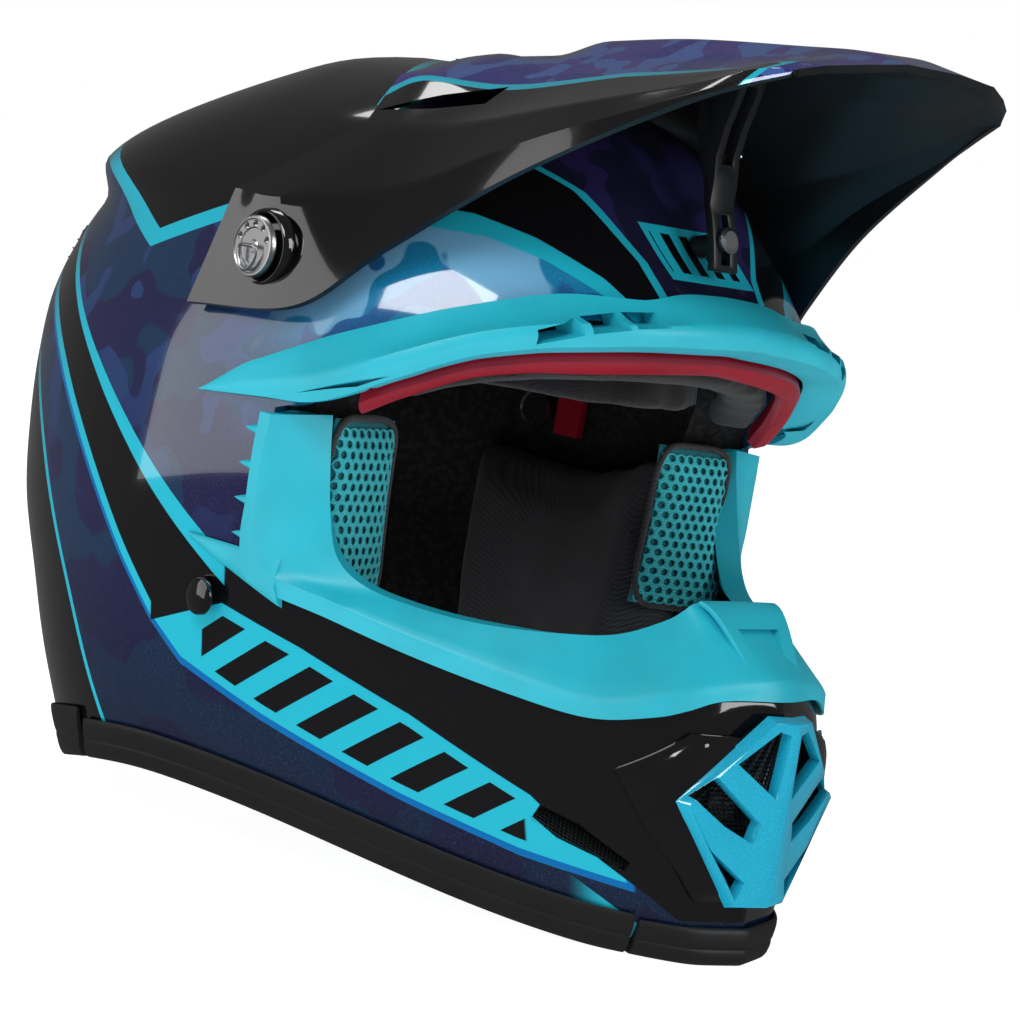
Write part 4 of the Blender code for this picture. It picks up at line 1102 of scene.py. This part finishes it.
def wire_cloth(name, across, along, place, thickness, replaced):
    cloth, _, _ = sheet(name, across, along, place)
    modify(cloth, "WIREFRAME", thickness=thickness * MM, use_even_offset=False, use_replace=True)
    finish_piece(cloth, "helmet", "vent_mesh", wire, replaced, angle=60)


def mouth_place(u, v):
    z = 24.5 + 54 * v
    half = np.interp(z, (24.5, 53.7, 78.5), (10.2, 31.2, 7.7))
    x = (u * 2 - 1) * half
    return np.stack([x, -159.3 + NOSE_FOLD * np.abs(x) + 0.25 * np.sin(u * 150), z], -1)


wire_cloth("mouth_wire", 34, 36, mouth_place, 0.75, "mouth_vent_mesh")
for side, name in SIDES:
    a, b = (on_side(*end, 0.9) for end in SIDE_VENT)

    def vent_place(u, v, a=a, b=b, side=side):
        line = a + (b - a) * (0.06 + 0.88 * u[:, None])
        line = line + np.stack([0 * u, 0 * u, (v - 0.5) * 7.6 * (1 - 0.3 * u)], -1)
        return line * (side, 1, 1)

    wire_cloth(f"chin_wire_{name}", 26, 7, vent_place, 0.6, f"chin_vent_mesh_{name}")

# %% [markdown]
# ## Rubber rim
# A rubber channel is pushed over the raw lower edge of the shell, in a neck length, a chin length and one each side.
# Each is a skin through rings every two and a half degrees, with a bead along the lip and a moulded line on the flange.

# %% Rim trims
def make_rim_trim(name, first, last, replaced, flange=13.5):
    """A length of the channel between two angles; its section is pairs of depth and height above the rim."""
    section = ((-1.2, 0.0), (-2.5, 1.2), (-2.6, flange * 0.42), (-2.1, flange * 0.47),
               (-2.6, flange * 0.52), (-2.5, flange - 1.0), (-1.8, flange + 0.7), (-0.9, flange + 0.6),
               (-0.9, 4.4), (5.5, 4.4), (5.5, 0.0))
    rings = []
    for angle in np.linspace(first, last, int((last - first) / 2.5) + 2):
        base = float(rim_height(angle))
        rings.append(wall(angle, [max(base + h, 0) for _, h in section], [d for d, _ in section]))
    trim = loft(name, rings, sharp=(0, 3, 7, 8, 9, 10), levels=1)
    finish_piece(trim, "helmet", "rim_rubber", rubber, replaced)


make_rim_trim("neck_rubber", -84, 84, "neck_rim_trim", 17)
make_rim_trim("side_rubber_left", 86, 154.4, "side_rim_trim_left")
make_rim_trim("side_rubber_right", 205.6, 274, "side_rim_trim_right")
make_rim_trim("chin_rubber", 155, 205, "chin_rim_trim", 12)

# %% [markdown]
# ## Thumb screws
# Each visor screw is a dark chromed disc with five holes along its upper edge and a folding loop to turn it by. It is
# turned from rings like work on a lathe, then drilled.

# %% Screws and handles
SCREW_FOOT = float(on_side(PIVOT[0] + 5.5, PIVOT[1] - 5.5)[0]) + 0.8
HEAD_PROFILE = ((SCREW_FOOT, 2.9), (121.8, 2.9), (121.8, 9.6), (122.1, 10.0), (123.4, 10.0), (124.0, 9.6),
                (124.05, 8.9), (123.75, 8.5), (123.75, 6.2), (123.2, 5.8), (123.2, 2.2), (123.6, 1.8))
COLLAR_PROFILE = ((115.5, 13.4), (118.5, 13.0), (120.2, 12.4), (120.7, 11.6), (120.5, 10.8), (117, 10.6))
LOOP = ((-4.4, 0), (-4.5, -2.2), (-3.6, -5.2), (-2, -7.1), (0, -7.8), (2, -7.1), (3.6, -5.2), (4.5, -2.2),
        (4.4, 0), (2.2, 0.1), (0, 0.1), (-2.2, 0.1))
for side, name in SIDES:
    screw = lathe("screw_head_" + name, HEAD_PROFILE, *PIVOT, side)
    for turn in np.radians((22, 56, 90, 124, 158)):
        hole = circle(PIVOT[0] + 7.3 * math.cos(turn), PIVOT[1] + 7.3 * math.sin(turn), 1.15, 16)
        cut(screw, prism("screw_hole", hole, side * 122.6, side * 126))
    finish_piece(screw, "screw_" + name, "steel", dark_chrome, "visor_screw_" + name)
    collar = lathe("screw_collar_" + name, COLLAR_PROFILE, *PIVOT, side, levels=1, closed=True)
    finish_piece(collar, "visor", "black_gloss", gloss_black)
    path = [(side * 125.3, PIVOT[0] + y, PIVOT[1] + z) for y, z in LOOP]
    handle = round_bar("screw_loop_" + name, path, 0.72, 10, closed=True)
    finish_piece(handle, "handle_" + name, "steel", steel, "screw_handle_" + name)

# %% [markdown]
# ## Foam liner
# The liner is a thick bowl of beaded foam inside the shell, open at the face. It is the same double skin as the shell
# with a deeper wall, cut by the outline of the face opening.

# %% Liner and chin foam
LINER_OPENING = ((-260, 204), (-88, 204), (-62, 192), (-36, 170), (-24, 150), (-24, 112), (6, 106), (6, -20),
                 (-260, -20))


def liner_depth(height):
    return 22 + 14 * ease(100, 140, height)


liner = double_skin("foam_liner", 120, 48, dome_rule(5.5, 5.0), dome_rule(5.5, liner_depth))
cut(liner, prism("liner_cutter", LINER_OPENING, -200, 200))
finish_piece(liner, "helmet", "foam", foam, "eps_liner")

rings = []
for angle in np.linspace(118, 242, 50):
    low = float(rim_height(angle)) + 12
    rings.append(wall(angle, [low, 68, 70, 70, 68, low], [6, 6, 7, 13.5, 15, 15]))
chin_foam = loft("chin_foam", rings, sharp=(0, 5), levels=1)
cut(chin_foam, prism("air_cutter", ((-14, 42), (14, 42), (14, 66), (-14, 66)), -100, -200, "Y"))
finish_piece(chin_foam, "helmet", "foam", foam, "chin_bar_liner")

# %% [markdown]
# ## Padding by simulation
# A stuffed pad is tight in the middle and held in at its seams. Drawing that by hand looks stiff, so each pad starts
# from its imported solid, is remeshed evenly, blown up a little by cloth simulation, and capped so that it stays clear
# of its neighbours.

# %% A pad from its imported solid
STEPS = 20


def puffed(name, node, shrink, cap, voxel):
    """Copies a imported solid, remeshes it, swells it as cloth and rounds it."""
    source = nodes[node]
    pad = source.copy()
    pad.data = source.data.copy()
    for key in [key for key in pad.keys() if key.startswith("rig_")]:
        del pad[key]
    pad.parent = None
    pad.name = pad.data.name = name
    pad.data.materials.clear()
    bpy.context.scene.collection.objects.link(pad)

    def weld():
        bpy.ops.mesh.remove_doubles(threshold=1e-5)

    edit(pad, weld, facing_out)
    modify(pad, "REMESH", mode="VOXEL", voxel_size=voxel * MM)
    modify(pad, "SMOOTH", factor=0.5, iterations=6)
    modify(pad, "DISPLACE", strength=-shrink * MM, mid_level=0)
    rest = points_of(pad)
    cloth = pad.modifiers.new("cloth", "CLOTH")
    cloth.settings.quality = 4
    cloth.settings.use_pressure = True
    cloth.settings.uniform_pressure_force = 4
    cloth.settings.effector_weights.gravity = 0
    cloth.point_cache.frame_start, cloth.point_cache.frame_end = 1, STEPS
    for step in range(1, STEPS + 1):
        bpy.context.scene.frame_set(step)
    moved = points_of(pad.evaluated_get(bpy.context.evaluated_depsgraph_get()))
    pad.modifiers.remove(cloth)
    bpy.context.scene.frame_set(1)
    shift = (moved - rest).reshape(-1, 3)
    far = np.linalg.norm(shift, axis=1)[:, None]
    shift *= np.minimum(1, cap * MM / np.maximum(far, 1e-9))
    put_points(pad, (rest.reshape(-1, 3) + shift).ravel())
    modify(pad, "SMOOTH", factor=0.5, iterations=2)
    modify(pad, "SUBSURF", levels=1, render_levels=1)
    return pad


def soft_piece(pad, body, material, replaced):
    finish_piece(pad, body, "pad_fabric", material, replaced, angle=180)


cheek = puffed("cheek_cushion_left", "cheek_pad_left", 1.6, 3.0, 4.5)
other = mirrored_copy(cheek, "cheek_cushion_right")
soft_piece(cheek, "cheek_left", pad_cloth, "cheek_pad_left")
soft_piece(other, "cheek_right", pad_cloth, "cheek_pad_right")
for name, node, shrink, cap, voxel, cover, fill in (
        ("crown_cushion", "crown_comfort_liner", 0.8, 2.0, 4.5, lining_cloth, 0.5),
        ("neck_cushion", "neck_roll", 1.0, 3.0, 4.5, pad_cloth, 0.7),
        ("brow_cushion", "brow_pad", 0.8, 2.5, 4, lining_cloth, 0.6)):
    soft_piece(puffed(name, node, shrink, cap, voxel), "helmet", cover, node)

# %% [markdown]
# ## Spacer mesh
# The window at the front of each cheek pad is spacer fabric: an open knit of six-sided holes over a darker back. The
# holes are real, made once as a cell and repeated over a rounded panel that follows the pad.

# %% Spacer mesh windows
PANEL_WIDE, PANEL_TALL = 33.0, 60.0
PITCH = 4.1  # between the middles of two holes in a row
ROW_STEP = PITCH * 0.866
HOLE = PITCH * 0.37  # from a hole's middle to its corners


def spacer_window(side, name):
    """A panel of six-sided holes on the front end of a cheek pad, with its back and a rolled edge."""
    def place(u, v):
        height = 91 + 59 * v
        bulge = 3.2 * (1 - (2 * u - 1) ** 4) * (1 - (2 * v - 1) ** 4)
        inner = wall(124, height, 47.0)
        outer = np.stack([97.5 - 2.0 * ease(0.6, 0, v), -34 - 7 * ease(0.55, 0, v), height], -1)
        points = outer + (inner - outer) * np.asarray(u)[..., None]
        points[..., 1] -= bulge
        points[..., 0] *= side
        return points

    work = bmesh.new()
    known = {}

    def corner(a, b):
        key = (round(a, 4), round(b, 4))
        if key not in known:
            u, v = min(max(a / PANEL_WIDE, 0), 1), min(max(b / PANEL_TALL, 0), 1)
            known[key] = work.verts.new(place(np.array([u]), np.array([v]))[0] * MM)
        return known[key]

    def hexagon(a, b, reach):
        return [corner(a + reach * math.cos(t), b + reach * math.sin(t))
                for t in (math.radians(30 + 60 * k) for k in range(6))]

    for row in range(int(PANEL_TALL / ROW_STEP)):
        for column in range(int(PANEL_WIDE / PITCH)):
            a, b = PITCH * (column + 0.5 + 0.5 * (row % 2)), ROW_STEP * (row + 0.65)
            outer, inner = hexagon(a, b, PITCH / 1.732), hexagon(a, b, HOLE)
            for k in range(6):
                face = (outer[k], outer[(k + 1) % 6], inner[(k + 1) % 6], inner[k])
                if len(set(face)) == 4:
                    work.faces.new(face)
    mesh = bpy.data.meshes.new("spacer_" + name)
    work.to_mesh(mesh)
    work.free()
    window = bpy.data.objects.new("spacer_mesh_" + name, mesh)
    bpy.context.scene.collection.objects.link(window)
    edit(window, merge, facing_out)
    modify(window, "SOLIDIFY", thickness=0.0009, offset=0)
    modify(window, "SUBSURF", levels=1, render_levels=1)
    finish_piece(window, "cheek_" + name, "spacer_mesh", spacer_cloth, angle=180)

    def behind(u, v):
        points = place(u, v)
        points[..., 1] += 1.5
        return points

    back, _, _ = sheet("spacer_back_" + name, 20, 30, behind)
    modify(back, "SOLIDIFY", thickness=0.0008, offset=0)
    finish_piece(back, "cheek_" + name, "spacer_mesh", spacer_back, "cheek_mesh_" + name, angle=180)
    turns = np.linspace(0, 2 * math.pi, 56, endpoint=False)
    u = 0.5 + 0.53 * np.sign(np.cos(turns)) * np.abs(np.cos(turns)) ** 0.4
    v = 0.5 + 0.51 * np.sign(np.sin(turns)) * np.abs(np.sin(turns)) ** 0.4
    piping = round_bar("spacer_piping_" + name, place(u, v), 1.3, 8, closed=True)
    finish_piece(piping, "cheek_" + name, "pad_fabric", pad_cloth, angle=180)


for side, name in SIDES:
    spacer_window(side, name)

# %% [markdown]
# ## Slip layer at the brow
# A red moulded layer sits between the brow of the shell and the liner, and shows as a rounded lip under the cyan trim.

# %% Brow guard
rings = []
for degrees in np.linspace(-58, 58, 71):
    base = height_along(BROW_LOW, degrees)
    notch = 0.9 * (0.5 + 0.5 * math.cos(math.radians(degrees * 9)))
    heights = [base - 3, base + 4, base + 5, base - 4.5, base - 6.8 + notch, base - 5.2]
    rings.append(wall(180 + degrees, heights, [5.2, 5.2, 13.4, 14, 11.5, 6.6]))
guard = loft("brow_slip_guard", rings, sharp=(0, 3, 4), levels=1)
finish_piece(guard, "helmet", "red_plastic", red_plastic, "brow_guard")

# %% [markdown]
# ## Rear exhausts, rivet caps and hangers
# The exhaust grilles under the spoiler are slatted plates. The strap rivets are capped outside by low domes.

# %% Rear exhausts
def exhaust(side, name):
    first = 15 if side > 0 else -40  # degrees from the back, over a span of 25

    def plate_place(u, v):
        rise = ease(0, 0.12, u) * ease(1, 0.88, u) * ease(0, 0.15, v) * ease(1, 0.85, v)
        return wall(first + 25 * u + side * (v - 0.5) * 4, 176.5 + 15.5 * v, -0.5 - 1.1 * rise)

    plate, _, _ = sheet("exhaust_grille_" + name, 36, 12, plate_place)
    edit(plate, facing_out)
    modify(plate, "SOLIDIFY", thickness=0.0012, offset=0)
    laths = []
    for row in range(4):
        heights = [base + 3.4 * row for base in (178.5, 179.9, 179.0)]
        rings = [wall(first + 2 + 21 * t, heights, [-1.4, -1.5, -2.9]) for t in np.linspace(0, 1, 16)]
        laths.append(loft("lath", rings, sharp=(0, 1, 2), levels=1))
    join(plate, laths)
    finish_piece(plate, "helmet", "black_plastic", black_plastic, "rear_exhaust_" + name)


for side, name in SIDES:
    exhaust(side, name)

# %% Rivet caps, and finishes for the plain nodes
cap_foot = float(on_side(ANCHOR[0] + 6, ANCHOR[1] + 6)[0]) + 0.4
DOME = ((0, 6.2), (1.0, 6.2), (1.6, 5.9), (2.3, 4.6), (2.55, 3.0), (2.6, 0.3))
for side, name in SIDES:
    cap = lathe("rivet_cap_" + name, [(cap_foot + rise, r) for rise, r in DOME], *ANCHOR, side, 32)
    finish_piece(cap, "helmet", "black_plastic", gloss_black, "strap_rivet_cap_" + name)
plain = [("visor_centre_boss", black_plastic), ("visor_centre_screw", steel)]
for _, name in SIDES:
    plain += [("pivot_boss_" + name, black_plastic), ("strap_hanger_" + name, steel),
              ("pad_magnet_" + name, steel), ("release_tab_" + name, red_plastic)]
for node, made in plain:
    nodes[node].data.materials.clear()
    nodes[node].data.materials.append(made.material)
print("finishes given to the plain nodes")

# %% [markdown]
# ## Chin straps
# A strap is flat webbing with rolled selvedges. Cloth simulation would need it remeshed, and a remesh erases a band this
# thin, so each is lofted down the inside of its cheek from its hanger. The left strap ends at the rings, and the right
# one is folded up on itself. Zigzag tacks sew each to its hanger.

# %% Chin straps
SELVEDGE = [(-9.7, 0.5), (-9.7, 1.1), (-8.7, 1.6), (-7.7, 1.35), (0, 1.45), (7.7, 1.35), (8.7, 1.6),
            (9.7, 1.1), (9.7, 0.5), (8.7, 0.1), (7.7, 0.3), (0, 0.2), (-7.7, 0.3), (-8.7, 0.1)]
STRAP_INSET = 7.3
STITCH, STITCHES = 0.7, 20  # the length of one stitch across the strap, and how many a tack has


def strap_side(z, more=0.0):
    """Half width at a strap's outer face; it leans in towards the rim."""
    return float(on_side(ANCHOR[0] - 10, z, STRAP_INSET + more + 0.05 * max(ANCHOR[1] - z, 0))[0])


def strap(name, side, stations, tacks):
    """Webbing through stations of x, z and the direction of its thickness, sewn across at some heights."""
    rings = [[(x + nx * t, ANCHOR[0] + across, z + nz * t) for across, t in SELVEDGE]
             for x, z, nx, nz in stations]
    band = loft(name, rings)
    threads = []
    for z in tacks:
        path = [(strap_side(z) - 1.55, ANCHOR[0] - 7 + STITCH * step, z + (0.8 if step % 2 else -0.8))
                for step in range(STITCHES + 1)]
        threads.append(round_bar("tack", path, 0.22, 6))
    join(band, threads)
    if side < 0:
        only(band)
        bpy.ops.transform.mirror(constraint_axis=(True, False, False), center_override=(0, 0, 0))
        bpy.ops.object.transform_apply(location=True, rotation=True, scale=True)
        edit(band, facing_out)
    finish_piece(band, "helmet", "webbing", webbing, name.replace("webbing", "chin"))


hang = [(strap_side(z), z, -1, 0) for z in range(92, 23, -6)]
fold_x = strap_side(22)
bend = [(fold_x - dx, z, nx, nz) for dx, z, nx, nz in (
    (0, 24, -0.9, 0.3), (1.0, 21.4, -0.6, 0.75), (2.4, 20.3, -0.1, 1), (4.2, 20.9, 0.4, 0.9),
    (5.3, 22.6, 0.75, 0.65))]
back = [(strap_side(z, 3.2) - 1.7, z, 1, 0) for z in range(30, 77, 6)]
strap("webbing_strap_left", 1, hang, (88, 79, 34))
strap("webbing_strap_right", -1, hang[:-1] + bend + back, (88, 79))

# %% D-rings
HALF_RING = 11
for number in (1, 2):
    low, high = (np.array(corner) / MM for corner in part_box(f"d_ring_{number}"))
    x = (low[0] + high[0]) / 2
    path = [(x, ANCHOR[0] + y, 20.5) for y in np.linspace(-HALF_RING, HALF_RING, 9)]
    path += [(x, ANCHOR[0] + HALF_RING * math.cos(t), 16.5 - 9 * math.sin(t))
             for t in np.linspace(0, math.pi, 21)]
    ring = round_bar(f"strap_ring_{number}", path, 1.5, 12, closed=True)
    finish_piece(ring, "rings", "steel", steel, f"d_ring_{number}", angle=180)

# %% [markdown]
# ## Centre post
# A fin under the middle of the visor ends in a slotted tongue that slides under the centre screw when the visor tilts.
# Its side outline is an arc about the side pivots below and a curved fin above, extruded and bevelled.

# %% Centre post
def about_pivot(radius, degrees):
    turn = math.radians(degrees)
    return PIVOT[0] - radius * math.cos(turn), PIVOT[1] + radius * math.sin(turn)


inside = [about_pivot(90, turn) for turn in np.linspace(10.8, 24.5, 9)]
outside = [about_pivot(93, turn) for turn in np.linspace(24.5, 10.8, 9)]
fin = [(-88.5, 246), (-84.5, 254), (-81.5, 264), (-81, 274), (-83, 287.2), (-99, 287.6), (-97.5, 276),
       (-94, 264), (-92.5, 254), (-93.5, 246)]
post = prism("centre_post", [*inside, *fin, *outside], -6, 6)
slot_low, slot_high = about_pivot(92, 12.3)[1], about_pivot(92, 22.7)[1]
slot = [(-2.1, slot_low), (2.1, slot_low), (2.1, slot_high), (-2.1, slot_high)]
cut(post, prism("tongue_slot", slot, -70, -120, "Y"))
cut(post, prism("fin_window", ((-2.6, 252), (2.6, 252), (2.6, 278), (-2.6, 278)), -70, -120, "Y"))
bevel(post, 0.5, 35)
finish_piece(post, "visor", "black_gloss", under_plastic, "visor_centre_post")
